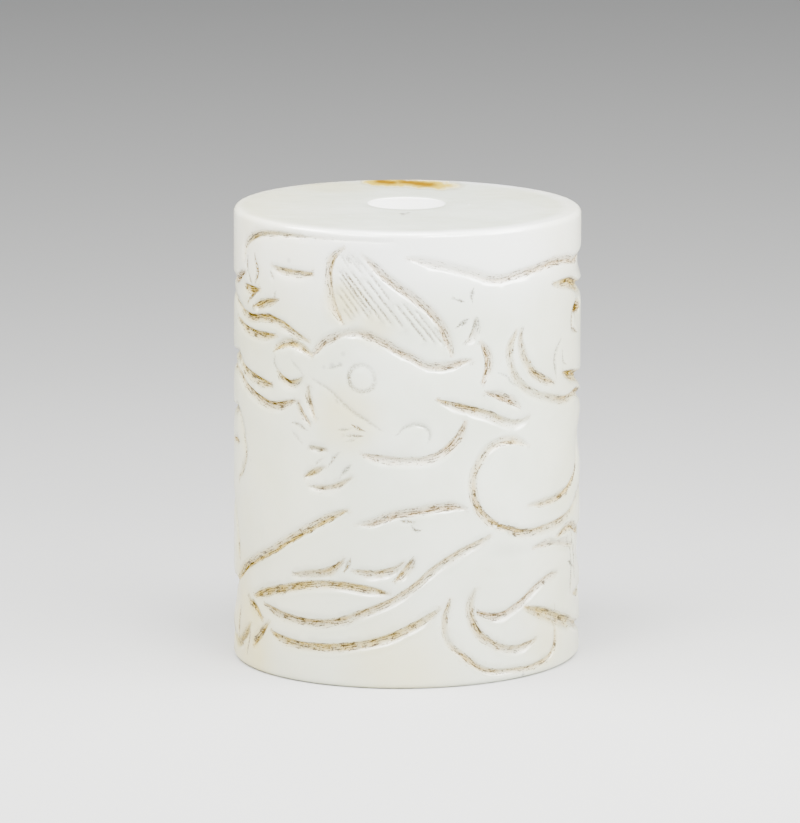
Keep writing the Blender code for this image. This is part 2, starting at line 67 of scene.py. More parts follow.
cuts = {
    "sections": {  # width and depth in metres
        "wide": (0.00076, 0.00030),
        "main": (0.00056, 0.00023),
        "shallow": (0.00056, 0.00010),
        "thin": (0.00040, 0.00013),
        "faint": (0.00052, 0.00007),
        "fine": (0.00030, 0.00007),
        "comb": (0.00026, 0.00009),
    },
    "passes": {
        "Deep Lines": ("wide",),
        "Outline Lines": ("main", "shallow"),
        "Light Lines": ("thin", "faint", "fine"),
    },
    "ledgeWidth": 0.0016,
    "ledgeDepth": 0.00015,
    "ledgeBack": 0.0003,  # past the line the ground comes up again within this
    "runOut": 0.0015,  # a cut fades over this length, or over a share of a short one
    "runOutShare": 0.3,
    "runOutCurve": 0.7,
    "endWidth": 0.4,  # shares of a cut's width, depth and stain that are left at its ends
    "endDepth": 0.2,
    "endStain": 0.75,
    "rimFade": 0.0003,
    "hollowDepth": 0.00024,
    "rowsSlant": (0, 0.35, -0.35, 0.8, -0.7, 1.25, -1.1, 1.75, 2.35, 3.0),  # in half widths
    "rowsEven": (0, 0.35, -0.35, 0.75, -0.75, 1.15, -1.15),
    "rowsFine": (0, 0.7, -0.7, 1.4, -1.4),
    "fineBelow": 0.00021,
    "evenWall": (1.1, 0.3),  # across an even cut, in half widths: its wall starts, its floor is reached
    "steepWall": (-1.15, 0.1),  # the same for both sides of a slanted cut
    "easyWall": (2.7, 0.7),
    "evenWash": (1.3, 0.7),  # and for the stain
    "steepWash": (-0.7, -0.2),
    "easyWash": (2.1, 1.0),
    "darkCore": (0.95, 0.35),
    "pastEnd": (0.9, 0.1),
    "stainShift": 0.00006,  # where the stain spreads to the left, the cut lies this far to the right
    "sunkSeen": 0.8,  # how much of a cut's depth its line is moved for, so that it shows in its place
    "sunkFade": (78, 12, 1.12),  # up to this turn, over so many degrees, and at most so far round in radians
    "wobble": 0.00016,
    "wobbleSize": 0.0008,
    "unevenScale": 420.0,
    "seed": 7,
}

tones = {"ochre": 0.0, "brown": 0.35, "tan": 0.7, "dusty": 0.85, "grey": 1.0}
lineValues = ("halfWidth", "cutDepth", "stain", "stainTone", "spread", "alongLine", "leftWay")

# Each entry starts with its cuts' section, the side of their run where the ground slopes down to them, the
# side their stain spreads to (a small letter for a little) and the stain's tone. A cut that has neither side
# names none. After that come the stain's strengths in percent and the points of each line.
cloudLines = [
    ("main R- ochre", (35, 40, 80, 55, 40, 20), [(-16.1, 31.8), (-15.3, 33.1), (-14, 33.95), (-12, 34.45),
      (-9, 34.62), (-7.4, 34.66)]),
    ("shallow tan", (20, 8, 4), [(-8.6, 34.62), (-5, 34.72), (-0.7, 34.7)]),
    ("main Rr ochre", (75, 80, 95), [(-11.7, 31.95), (-9.8, 31.85), (-7.5, 31.85)]),
    ("main RR ochre", (120, 120, 110), [(-16, 30), (-14.8, 29.95), (-13.5, 29.95)]),
    ("thin ochre", (130, 120, 100), [(-13.6, 29.95), (-14.3, 29.5), (-15.2, 28.8)]),
    ("main Rr ochre", (100, 100, 70), [(-14.2, 28.5), (-12.6, 29.1), (-11.1, 29.5)],
     (120, 120, 110, 100), [(-17.8, 27.05), (-15.5, 26.75), (-13.5, 26.6), (-11.2, 26.7)]),
    ("thin ochre", (75, 85, 50), [(-14.1, 32.3), (-13.6, 31.3), (-14.1, 30.3)]),
    ("fine brown", 50, [(-15.2, 30.9), (-14.7, 30.2)], 65, [(-15.45, 32.1), (-15.4, 31)],
     40, [(-12, 31.5), (-11.6, 31)], 35, [(-11.4, 30), (-11.5, 29.5)]),
]
headLines = [
    ("main Ll ochre", (100, 100, 80, 95), [(-11.5, 25.55), (-10.2, 26.15), (-9.2, 26.25), (-7.65, 25.6)]),
    ("main Rl tan", (100, 70, 50, 80, 80, 55, 90), [(-7.65, 25.6), (-6.3, 26.75), (-4, 27.6),
      (-2.4, 27.1), (0, 25.9), (1.8, 25.05), (4.9, 25.45)]),
    ("main Rr ochre", (70, 100, 80, 20), [(-11.1, 24), (-10, 23.4), (-9.2, 23.35), (-8.5, 23.8)]),
    ("main L- brown", (60, 60, 75, 85), [(-8, 23.2), (-7.9, 22.4), (-7.6, 21.4), (-7.4, 20.7)]),
    ("main R- brown", 75, [(-8.95, 21.9), (-8.4, 21), (-7.8, 20.2)]),
    ("main Lr brown", (60, 90, 60, 55, 100), [(-5, 33.95), (-5.75, 33.15), (-6, 31.4), (-5.8, 30),
      (-5, 28.2)]),
    ("main Rl tan", (50, 75, 65, 75, 70, 95), [(-3.4, 33.5), (-1.6, 31.8), (0.5, 30.25), (2.2, 28.6),
      (3, 27), (3.45, 25.8)]),
    ("thin dusty", (22, 20, 28, 18), [(-7.6, 23.75), (-6.3, 23.15), (-4.5, 21.75), (-2, 20.15)]),
    ("main LR tan", (65, 60, 35, 50, 95, 80), [(-3.45, 18.25), (-2, 18.05), (0, 17.9), (1.8, 18.1),
      (3.5, 19.25), (4.5, 20.8)]),
    ("thin grey", (35, 22, 25), [(-0.7, 19.9), (-0.1, 20.45), (1, 20.55), (1.65, 20.1), (1.6, 19.2)]),
    ("main R- brown", (50, 60), [(-8, 18.42), (-6.4, 18.4)]),
    ("main R- ochre", (100, 75, 35), [(-8.4, 16.1), (-7.5, 16.55), (-6.6, 17.05)]),
    ("main R- brown", (40, 60, 65, 35), [(-8, 15.4), (-6.6, 15.42), (-5.2, 15.85), (-4.2, 16.45)]),
    ("thin grey", 40, [(-5.2, 16.5), (-4.4, 17.35)]),
    ("fine grey", 30, [(-11.4, 25), (-11.5, 24.6), (-11.2, 24.1)], 20, [(-9.6, 24.95), (-8.6, 24.1)],
     30, [(-6.2, 24.7), (-5.2, 25)], 18, [(-5.7, 22.4), (-5.2, 22)]),
    ("fine dusty", 50, [(-9.6, 20.15), (-9, 20.1), (-8.3, 19.75)]),
    ("fine brown", 20, [(-9.6, 19.4), (-8.9, 18.8)]),
    ("fine grey", 35, [(-5.3, 20.05), (-4.6, 20.1)]),
    ("fine tan", 80, [(-4.2, 20.45), (-3.4, 20.1)]),
    ("fine R- dusty", (20, 70), [(-4.8, 19.6), (-3.5, 19.65)]),
    ("fine tan", 25, [(-6, 17.6), (-5.7, 18)]),
    ("fine dusty", 40, [(-6.2, 17.2), (-5.3, 18.3)], 30, [(-7.4, 17.1), (-6.9, 17.6)],
     30, [(-4.6, 19.2), (-4.1, 19.3)]),
]
eyeRing = [(-4.52, 24.2), (-4.25, 24.85), (-3.55, 25.12), (-2.85, 24.85), (-2.52, 24.25), (-2.6, 23.55),
           (-3.15, 23.12), (-3.9, 23.18), (-4.4, 23.6)]
eyeStain = (40, 25, 12, 8, 14, 25, 30, 22, 33, 40)
maneLines = [
    ("main Rl grey", (70, 100, 100), [(5.35, 28.7), (5.05, 27.5), (4.6, 26.75)]),
    ("main -l tan", (100, 110, 115), [(5.75, 26.8), (6.25, 25.4), (5.9, 23.5)]),
    ("main Rr brown", (60, 50, 65, 95, 75), [(9.4, 27.3), (9.45, 26), (10.3, 24.3), (11.4, 23.5),
      (13.3, 22.75)]),
    ("wide RL brown", 160, [(16.7, 27.95), (19.4, 27.8)]),
    ("thin grey", 40, [(14.3, 26), (13.3, 24.8), (13.6, 23.1)]),
    ("main Rl tan", (100, 100, 90), [(6.25, 22.85), (7.8, 22.2), (9.3, 21.45)]),
    ("main Rr brown", (110, 80, 90, 50, 35, 25), [(2.4, 22.45), (4, 21.98), (6, 21.35), (8.3, 20.4),
      (9.3, 20.3), (10.3, 20.6)]),
    ("main Rl tan", (35, 80, 95, 90, 95, 75), [(-3.9, 12.8), (-2.5, 12.95), (-1.2, 13.5), (0.7, 13.85),
      (3.2, 14.15), (4.6, 13.95)]),
    ("fine grey", 70, [(3.75, 30.15), (4.2, 30)], 55, [(5.1, 30.9), (4.9, 30.3), (5, 30)]),
    ("thin grey", 65, [(3.8, 28.05), (4.2, 28.3), (4.6, 28.6)]),
    ("fine grey", 25, [(7.1, 24.3), (8, 23.95), (8.5, 23.4), (9.5, 22.9)],
     40, [(14.6, 24.8), (14.7, 24.2), (15.2, 23.9)]),
    ("thin brown", 70, [(16.7, 28), (16.4, 27.2), (16.4, 26.6), (17, 26.3), (17.9, 25.95)]),
]
bodyLines = [
    ("main brown", 100, [(-19.6, 17.3), (-17.4, 17.4)]),
    ("main Rl ochre", (130, 110, 110, 100, 90, 95, 80), [(-17.9, 6.5), (-16, 7.6), (-14, 8.7),
      (-12, 9.65), (-9, 11.4), (-6, 13.15), (-4.7, 13.85)]),
    ("main Rl brown", (40, 65, 90, 110, 110, 90), [(10.2, 13.6), (12, 13.5), (15, 13.9), (17.3, 14.75),
      (18.5, 16), (19.1, 17.6)]),
    ("main Rl tan", (75, 35, 35, 50), [(10.9, 10.2), (13.2, 10.2), (15, 9.8), (17, 9.2)]),
    ("fine grey", 70, [(16.9, 10), (16.95, 9.3)], 70, [(17.3, 8.6), (17.7, 8.1)]),
    ("thin grey", 80, [(16, 8.1), (17.1, 7.5)]),
    ("fine grey", 65, [(16.45, 7.3), (16.5, 6.5), (16.3, 5.9)],
     (30, 50, 40), [(15.9, 10.2), (16.5, 9), (16.6, 7.4), (16.4, 5.8)],
     (30, 50, 50), [(16.9, 9.9), (17.5, 8.3), (17.6, 6.6)]),
    ("fine dusty", 60, [(-0.5, 13.15), (0.5, 13.05)]),
    ("fine grey", 70, [(0.4, 12.7), (0.6, 12.4), (1, 12.4)]),
    ("thin brown", 120, [(-18.2, 11), (-17.5, 9.6), (-17.2, 8.2)]),
]
clawLines = [
    ("main Rr brown", (60, 50, 95, 105), [(-9.4, 8.4), (-7.5, 8.8), (-6.2, 9.05), (-4.95, 9.9)]),
    ("thin brown", 60, [(-4.85, 9.1), (-4.35, 10.05)]),
    ("main Rr brown", (65, 80, 65, 65), [(-4.2, 9.2), (-2.3, 9.12), (-1, 9.45), (-0.15, 10.05)],
     (90, 75), [(-0.85, 8.5), (0.55, 10.3)]),
    ("main RR ochre", (110, 95, 90, 80, 80, 80, 85), [(-14.2, 5.95), (-12.5, 6.6), (-10, 7.35),
      (-7.5, 7.95), (-5, 8.1), (-2.8, 7.85), (-1.4, 7.55)]),
    ("main Rr brown", (85, 90, 80, 80, 70, 65, 60), [(-12.8, 5.55), (-8, 4.95), (-5.5, 5.2), (-3.5, 5.95),
      (-0.7, 7.25), (3, 10.1), (6.6, 11.7)]),
    ("main RR ochre", (100, 95, 85, 80, 85, 65, 50), [(-11.7, 3.5), (-9.5, 3.15), (-7, 3.1), (-4, 3.45),
      (-1.5, 4.1), (0.2, 4.9), (2.4, 6.2)]),
    ("main Rl ochre", 100, [(-15, 5.5), (-14, 5.15), (-13.1, 4.4)]),
    ("main L- ochre", (70, 90, 100), [(-12.15, 4.2), (-13.1, 3), (-14.3, 1.95)]),
    ("main ochre", (100, 80, 60), [(-17.6, 1.75), (-16.1, 2.3), (-15.4, 2.7), (-15, 3.4)]),
    ("fine brown", (40, 90), [(-15, 3.2), (-15.1, 2.4), (-15.5, 1.1)]),
    ("thin brown", 120, [(-17.2, 4.3), (-17.5, 2.3)]),
    ("fine dusty", 70, [(-13.5, 3.1), (-13, 3.5)]),
]
curlLines = [
    ("main brown", (100, 55, 30, 85, 70, 60, 70, 60, 60), [(3.3, 6.95), (2.85, 5.3), (3.1, 3.7),
      (4.5, 2.3), (6, 1.2), (8.5, 0.8), (11.5, 0.9), (13.1, 1.6), (13.6, 3.6)]),
    ("main Rr brown", (40, 50, 85, 90, 60, 70), [(5.35, 7.6), (4.95, 6.2), (5.35, 4.6), (6.6, 3.35),
      (8.5, 2.6), (11.1, 2.9)]),
    ("main Rr tan", (150, 100, 85, 80, 70, 50), [(5.5, 5.75), (7.2, 5.38), (9, 6), (11, 7.15),
      (12.4, 7.65), (13.8, 7.7)]),
    ("main Rl ochre", 50, [(17.3, 5.3), (20, 4.9), (22.5, 5.4)]),
    ("fine brown", 30, [(13.65, 3.4), (13.5, 5)]),
]
lowerEdge = [(13.7, 10.5), (15.5, 10.9), (17.2, 10.65), (19, 10), (25, 10.6), (31, 11.2), (38, 10.2),
             (45, 9.8), (53, 11.6), (59, 12.7), (64.5, 12.5), (66.4, 10.6), (67.4, 8.4)]
roundLines = [  # these run on round the back, which the photo doesn't show
    ("main Rl tan", (35, 22, 45, 65, 90, 75, 90, 80, 80, 75, 80, 85, 120, 140),
     [(0, 33.4), (4.5, 32.2), (6.8, 31.5), (9, 31.7), (13.6, 32.2), (17.8, 31.7), (24, 31.9), (31, 30.6),
      (38, 30.9), (46, 32), (54, 31.2), (61, 29.9), (66, 29.9), (68.9, 30.95)]),
    ("wide Rr ochre", (80, 100, 100, 85, 80, 80, 80), [(13.2, 30.5), (15, 30.5), (19, 29.6), (25, 29.3),
      (31, 27.7), (35, 27.1), (38.5, 27.6)]),
    ("main Rr ochre", (80, 80, 75, 80, 80, 80, 80, 80, 80, 80, 90, 110, 120, 100, 70),
     [(43, 27.6), (43.9, 27.2), (43.8, 26.3), (42.7, 25.9), (41.7, 26.8), (42, 28.3), (43.6, 29.1),
      (47, 28.8), (51, 29), (58, 28.1), (63, 29), (67, 28.35), (70, 27.8), (73.5, 28), (76.8, 26.65)]),
    ("main Rr brown", (80, 50, 40, 45, 40, 50, 75, 110, 80, 80, 75, 80, 80, 90, 110, 120, 120, 90),
     [(8.9, 27.3), (8.3, 26.1), (8.35, 25), (9, 23.65), (10.3, 22.6), (12.3, 21.85), (14.5, 21.35),
      (18, 21.35), (24, 19.9), (31, 19.3), (38, 20.2), (46, 21.9), (54, 22.6), (61, 23.2), (67.3, 22.95),
      (69.8, 22.2), (73.4, 21.4), (75.6, 21.95)]),
    ("wide Rr ochre", (140, 100, 80, 80, 80, 80, 80, 90, 110, 120, 110),
     [(14.8, 23.3), (19, 22.5), (25, 21.7), (32, 22), (40, 24.2), (48, 25.3), (57, 24.4), (65, 24.1),
      (67.6, 24.25), (69.3, 23.6), (73, 22.8)]),
    ("main -r brown", (50, 75, 60, 55, 80, 85, 100), [(10.1, 18.3), (8.4, 18.78), (6.8, 18.55),
      (5.5, 17.1), (5.15, 15.6), (5.8, 13.6), (8, 11.95)]),
    ("main Rr brown", (120, 85, 70, 75, 80, 80, 80, 80, 80, 80, 80, 90, 110, 110, 110, 110),
     [(7.2, 12.45), (9.6, 11.65), (12, 11.65), (15, 12), (19, 13.1), (25, 15.2), (31, 15.6), (38, 14.6),
      (45, 14.9), (53, 17.6), (59, 19.6), (64.8, 19.75), (67.3, 19.95), (69.4, 17.8), (69.5, 16.4),
      (67.3, 14.6)]),
    ("main ochre", 75, [(36, 17.2), (39, 17.9), (42, 17.1), (44.2, 17.5), (44.6, 18.9), (43.4, 19.4),
      (42.6, 18.7)]),
    ("main Rl brown", (70, 100, 100, 90, 80, 80, 80, 80, 80, 80, 80, 80, 80), lowerEdge),
    ("wide Rr ochre", (90, 90, 80, 60), [(9.9, 5.6), (12, 4.9), (14, 4.1), (17, 3.05)]),
    ("main Rr brown", (40, 60, 75, 70, 60), [(14, 4.15), (17, 3.1), (20, 2.4), (25, 2.2), (29.5, 3.4)]),
    ("main Rr ochre", 80, [(36.4, 5), (38.5, 4.2), (42, 3.8), (46, 4.2), (51, 3.2), (58, 2.1), (63, 2.4),
      (67.2, 1.75), (68.7, 2.3), (70, 3.65)]),
    ("main Lr ochre", 80, [(35.6, 7.6), (38, 6.9), (41, 7.3), (45, 9)]),
    ("main Rr ochre", 80, [(36.4, 5), (35, 4.2), (34.4, 2.9)], 80, [(35.7, 6.2), (34, 5.8), (32.9, 4.7)],
     80, [(35.6, 7.6), (33.9, 7.7), (32.5, 6.9)],
     75, [(46.5, 6.9), (52, 6.1), (58, 5.2), (63, 5.9), (66.9, 6.5)]),
]

ticks = {  # the row of short cuts over the tail band
    "firstU": 24,
    "lastU": 60,
    "spacing": 3,
    "rise": 1.7,
    "slant": 1.2,
    "gap": 0.8,
    "steps": 9,
    "stain": 70,
}

comb = {  # the fine lines inside the ear, all on one slant
    "middle": (-2.0, 30.0),
    "run": (0.6247, -0.7809),
    "steps": 12,
    "stainShare": 0.5,
    "lines": [  # place across the comb, start and end along it, stain
        (-2.75, -1.4, -0.4, 35), (-2.38, -2.6, -0.3, 50), (-1.95, -2.8, -0.2, 55), (-1.52, -3.4, 0.5, 65),
        (-1.2, -3.9, 0.25, 80), (-0.87, -3.7, 1.2, 95), (-0.44, -3.5, 1.95, 70), (-0.1, -4.4, -3.6, 60),
        (0.12, -2.3, 2.8, 75), (0.1, -4.6, -2.4, 30), (-0.42, -4.7, -3.6, 30), (0.35, -4.3, -3.1, 35),
        (0.56, -3.9, -2.5, 30), (0.6, -2.4, 0.35, 65), (0.78, 0.75, 4.5, 80), (1.24, 1.1, 5.1, 75),
        (1.64, 2, 5.9, 60), (1.95, 4, 5.6, 50),
    ],
}

hollows = [  # soft hollows of the ground: middle, reach along and reach up
    (21.5, 31, 5, 1.3), (21.5, 17.4, 6, 2.3), (21.5, 8.2, 5.5, 2), (-10.5, 17.5, 5.5, 4),
    (8.5, 9.6, 4.5, 1.6), (50, 20, 8, 1.8), (63.8, 5, 6, 2.2),
]

view = {
    "distance": 0.43214,
    "tilt": 0.189495,
    "roll": -0.0093978,
    "aimRight": -0.00075337,
    "aimUp": 0.00303323,
    "middle": 0.017758,
    "lens": 241.28,
}

rightSlope = bead["fallRight"] / (2 * bead["topRadius"])
frontSlope = bead["fallFront"] / (2 * bead["topRadius"])
around = 2 * math.pi * bead["topRadius"]
sideHeight = bead["height"] - 2 * bead["edgeRound"]


def linked(name, data):
    made = bpy.data.objects.new(name, data)
    bpy.context.scene.collection.objects.link(made)
    return made


def arcOf(u):
    return u / bead["sheetWidth"] * around


def heightOf(z):
    return z / bead["sheetHeight"] * bead["height"]


def theShortWay(arc):
    return (arc + around / 2) % around - around / 2


def smoothLine(points):
    curve = bpy.data.curves.new("line", "CURVE")
    curve.resolution_u = bead["lineSteps"]
    spline = curve.splines.new("BEZIER")
    spline.bezier_points.add(len(points) - 1)
    for bezierPoint, (u, z) in zip(spline.bezier_points, points):
        bezierPoint.co = (u, z, 0)
        bezierPoint.handle_left_type = "AUTO"
        bezierPoint.handle_right_type = "AUTO"
    holder = bpy.data.objects.new("line", curve)
    mesh = bpy.data.meshes.new_from_object(holder)
    line = np.array([(arcOf(vert.co.x), heightOf(vert.co.y)) for vert in mesh.vertices])
    bpy.data.objects.remove(holder)
    bpy.data.curves.remove(curve)
    bpy.data.meshes.remove(mesh)
    return line


def lengthsAlong(line):
    return np.concatenate([[0], np.cumsum(np.linalg.norm(np.diff(line, axis=0), axis=1))])


def evenly(line, spacing):
    along = lengthsAlong(line)
    places = np.linspace(0, along[-1], max(5, math.ceil(along[-1] / spacing) + 1))
    return np.stack([np.interp(places, along, row) for row in line.T], axis=1), places


def leftOf(line):
    # the way across the line at each of its points, to the left of its run
    run = np.gradient(line, axis=0)
    run = run / np.linalg.norm(run, axis=1)[:, None]
    return np.stack([-run[:, 1], run[:, 0]], axis=1)


def leftOnSide(line):
    angles = line[:, 0] / bead["topRadius"]
    across, up = leftOf(line).T
    return np.stack([across * np.cos(angles), across * np.sin(angles), up], axis=1)


def placesOf(strengths, line):
    # where the strengths lie along the line: at its points, or evenly spaced where their number differs
    lengths = lengthsAlong(line)
    corners = lengths[:: bead["lineSteps"]] / lengths[-1]
    return corners if len(corners) == len(strengths) else np.linspace(0, 1, len(strengths))


def moveForView(line, sunk):
    # a sunk floor shows nearer the middle and higher than the ground over it, so its line moves the other way
    last, fade, bound = cuts["sunkFade"]
    angles = (line[:, 0] / bead["topRadius"] + math.pi) % (2 * math.pi) - math.pi
    seen = np.clip((math.radians(last) - np.abs(angles)) / math.radians(fade), 0, 1) * sunk
    bounded = np.clip(angles, -bound, bound)
    return line + np.stack([seen * np.tan(bounded), -seen * math.tan(view["tilt"]) / np.cos(bounded)], axis=1)


def makeCut(style, stain, line, closed=False):
    words = style.split()
    section, tone = words[0], words[-1]
    slope, spread = words[1] if len(words) == 3 else "--"
    width, depth = cuts["sections"][section]
    ledgeDepth = cuts["ledgeDepth"] * depth / cuts["sections"]["main"][1]
    strengths = np.atleast_1d(stain) / 100
    places = placesOf(strengths, line)
    line, along = evenly(line, bead["alongSpacing"] / 2)
    toEnd = np.minimum(along, along[-1] - along)
    fade = np.clip(toEnd / min(cuts["runOut"], cuts["runOutShare"] * along[-1]), 0, 1)
    swell = fade ** cuts["runOutCurve"]
    if closed:
        swell = np.ones(len(line))

    def swollen(endShare):
        return endShare + (1 - endShare) * swell

    cutDepth = depth * swollen(cuts["endDepth"])
    sunk = cutDepth + (ledgeDepth * swell if slope != "-" else 0)
    line = moveForView(line, cuts["sunkSeen"] * sunk)
    if spread in "lL":
        line = line - cuts["stainShift"] * leftOf(line)
    return {
        "line": line,
        "section": section,
        "halfWidth": width / 2 * swollen(cuts["endWidth"]),
        "cutDepth": cutDepth,
        "slope": {"R": -1, "L": 1, "-": 0}[slope],
        "ledgeDepth": ledgeDepth,
        "stain": np.interp(along / along[-1], places, strengths) * swollen(cuts["endStain"]),
        "stainTone": np.full(len(line), tones[tone]),
        "spread": np.full(len(line), {"R": -1.0, "r": -0.5, "-": 0.0, "l": 0.5, "L": 1.0}[spread]),
        "alongLine": along + 3 * abs(line[0, 0]),  # so that two lines' streaks start differently
        "leftWay": leftOnSide(line),
    }


def allCuts():
    made = []
    for group in (cloudLines, headLines, maneLines, bodyLines, clawLines, curlLines, roundLines):
        for style, *lines in group:
            for stain, points in zip(lines[::2], lines[1::2]):
                made.append(makeCut(style, stain, smoothLine(points)))
    made.append(makeCut("faint dusty", eyeStain, smoothLine(eyeRing + eyeRing[:1]), closed=True))
    edge = smoothLine(lowerEdge)
    share = np.linspace(0, 1, ticks["steps"])
    bend = np.stack([arcOf(ticks["slant"]) * share**2, heightOf(ticks["rise"]) * share], axis=1)
    for u in np.arange(ticks["firstU"], ticks["lastU"], ticks["spacing"]):
        foot = edge[np.abs(edge[:, 0] - arcOf(u)).argmin()] + (0, heightOf(ticks["gap"]))
        made.append(makeCut("main ochre", ticks["stain"], foot + bend))
    return made


def combEnds():
    # the two ends of each comb line on the sheet, in metres
    along = np.array(comb["run"])
    across = np.array([-along[1], along[0]])
    ends = []
    for place, start, end, _ in comb["lines"]:
        ends.append([comb["middle"] + across * place + along * reach for reach in (start, end)])
    ends = np.array(ends)
    return np.stack([arcOf(ends[..., 0]), heightOf(ends[..., 1])], axis=-1)


def nearLine(line, points):
    # signed distance to the line, left of its run positive, and the place along it
    middle = line[:, 0].mean()
    points = points.copy()
    points[:, 0] = middle + theShortWay(points[:, 0] - middle)
    start = line[:-1]
    run = line[1:] - start
    offset = points[:, None, :] - start[None]
    share = np.clip((offset * run[None]).sum(axis=2) / (run**2).sum(axis=1)[None], 0, 1)
    gap = offset - share[..., None] * run[None]
    distance = np.sqrt((gap**2).sum(axis=2))
    best = distance.argmin(axis=1)
    rows = np.arange(len(points))
    left = run[best, 0] * gap[rows, best, 1] - run[best, 1] * gap[rows, best, 0]
    return np.where(left < 0, -1, 1) * distance[rows, best], best + share[rows, best]


def withinReach(line, points, reach):
    low, high = line.min(axis=0), line.max(axis=0)
    off = np.abs(theShortWay(points[:, 0] - (high[0] + low[0]) / 2))
    level = (points[:, 1] > low[1] - reach) & (points[:, 1] < high[1] + reach)
    return np.flatnonzero((off < (high[0] - low[0]) / 2 + reach) & level)


def groundDrop(made, points):
    # the slopes down to the cuts and the soft hollows, with no cut in them
    ledge = np.zeros(len(points))
    for cut in made:
        if not cut["slope"]:
            continue
        step = 4 if len(cut["line"]) > 40 else 1
        line, depth = cut["line"][::step], cut["cutDepth"][::step]
        near = withinReach(line, points, cuts["ledgeWidth"])
        for part in np.array_split(near, max(1, len(near) // 1500)):  # in parts, to spare memory
            if not len(part):
                continue
            across, along = nearLine(line, points[part])
            deep = np.interp(along, np.arange(len(line)), depth / depth.max())
            across = across * cut["slope"]
            rise = np.clip(1 + across / cuts["ledgeBack"], 0, 1)
            fall = np.clip(1 - across / cuts["ledgeWidth"], 0, 1)
            fall = fall * fall * (1.6 - 0.6 * fall)  # it eases out into the ground
            sunk = cut["ledgeDepth"] * deep * np.where(across < 0, rise, fall)
            ledge[part] = np.maximum(ledge[part], sunk)
    hollow = np.zeros(len(points))
    for u, z, reachAlong, reachUp in hollows:
        off = theShortWay(points[:, 0] - arcOf(u))
        far = (off / arcOf(reachAlong)) ** 2 + ((points[:, 1] - heightOf(z)) / heightOf(reachUp)) ** 2
        hollow = np.maximum(hollow, cuts["hollowDepth"] * np.clip(1 - far, 0, 1) ** 2)
    return ledge + hollow


def bodyPoints(radius, angle, share, rise):
    x = radius * np.sin(angle)
    y = -radius * np.cos(angle)
    z = share * (bead["height"] - rightSlope * x + frontSlope * y) + rise
    return np.stack([x + bead["topLean"] / bead["height"] * z, y, z], axis=-1)


def topAt(x, y):
    level = bead["height"] - rightSlope * x + frontSlope * y
    return level / (1 - rightSlope * bead["topLean"] / bead["height"])


def onSide(points):
    share = (points[:, 1] - bead["edgeRound"]) / sideHeight
    radius = bead["topRadius"] + (bead["baseRadius"] - bead["topRadius"]) * (1 - share)
    return bodyPoints(radius, points[:, 0] / bead["topRadius"], share, bead["edgeRound"] * (1 - 2 * share))


def rowsOf(cut):
    if cut["halfWidth"].max() < cuts["fineBelow"]:
        return cuts["rowsFine"]
    return cuts["rowsSlant" if cut["spread"][0] else "rowsEven"]


def layOut(made):
    # points on the unrolled side: both rims, rows along every cut, then the plain ground between
    cell = bead["groundSpacing"]
    cells = {}
    kept = []

    def add(points, spacing):
        angles = points[:, 0] / bead["topRadius"]
        solid = np.stack([np.cos(angles), np.sin(angles)], axis=1) * bead["topRadius"]
        for place, (x, y) in zip(points, solid):
            h = place[1]
            i, j, k = math.floor(x / cell), math.floor(y / cell), math.floor(h / cell)
            for key in ((i + a, j + b, k + c) for a in (-1, 0, 1) for b in (-1, 0, 1) for c in (-1, 0, 1)):
                near = cells.get(key, ())
                if any((x - p) ** 2 + (y - q) ** 2 + (h - r) ** 2 < spacing**2 for p, q, r in near):
                    break
            else:
                cells.setdefault((i, j, k), []).append((x, y, h))
                kept.append(place)

    bottom, top = bead["edgeRound"], bead["height"] - bead["edgeRound"]
    for height in (bottom, top):
        add(np.array([(around * i / bead["ringSides"], height) for i in range(bead["ringSides"])]), 0)
    for place in range(len(cuts["rowsSlant"])):  # the middle rows of all the cuts come first
        for cut in made:
            shares = rowsOf(cut)
            if place >= len(shares):
                continue
            line = cut["line"][::2]
            left = leftOf(line) * (np.sign(cut["spread"][0]) or 1)
            row = line + shares[place] * left * cut["halfWidth"][::2][:, None]
            row = row[(row[:, 1] > bottom + bead["clearOfRim"]) & (row[:, 1] < top - bead["clearOfRim"])]
            add(row, bead["nearestPoints"])
    rows = round(sideHeight / (bead["groundSpacing"] * math.sqrt(3) / 2))
    columns = round(around / bead["groundSpacing"])
    column, row = np.meshgrid(np.arange(columns), np.arange(1, rows))
    arc = around * (column + row % 2 / 2) / columns
    height = bead["edgeRound"] + sideHeight * row / rows
    add(np.stack([arc.ravel(), height.ravel()], axis=1), bead["groundSpacing"] * bead["groundNearest"])
    return np.array(kept)


def joinPoints(points):
    # on a flat ring the sheet has no seam, and the triangles stay well shaped
    sides = bead["ringSides"]
    reach = np.exp(points[:, 1] / bead["topRadius"])
    angles = points[:, 0] / bead["topRadius"]
    spots = [Vector(spot) for spot in np.stack([reach * np.cos(angles), reach * np.sin(angles)], axis=1)]
    ring = [(i, (i + 1) % sides) for i in range(sides)]
    edges = ring + [(a + sides, b + sides) for a, b in ring]
    _, _, faces, sources, _, _ = delaunay_2d_cdt(spots, edges, [], 0, 1e-7)
    order = np.array([source[0] for source in sources])
    faces = order[np.array(faces)]
    return faces[(faces >= sides).any(axis=1)]


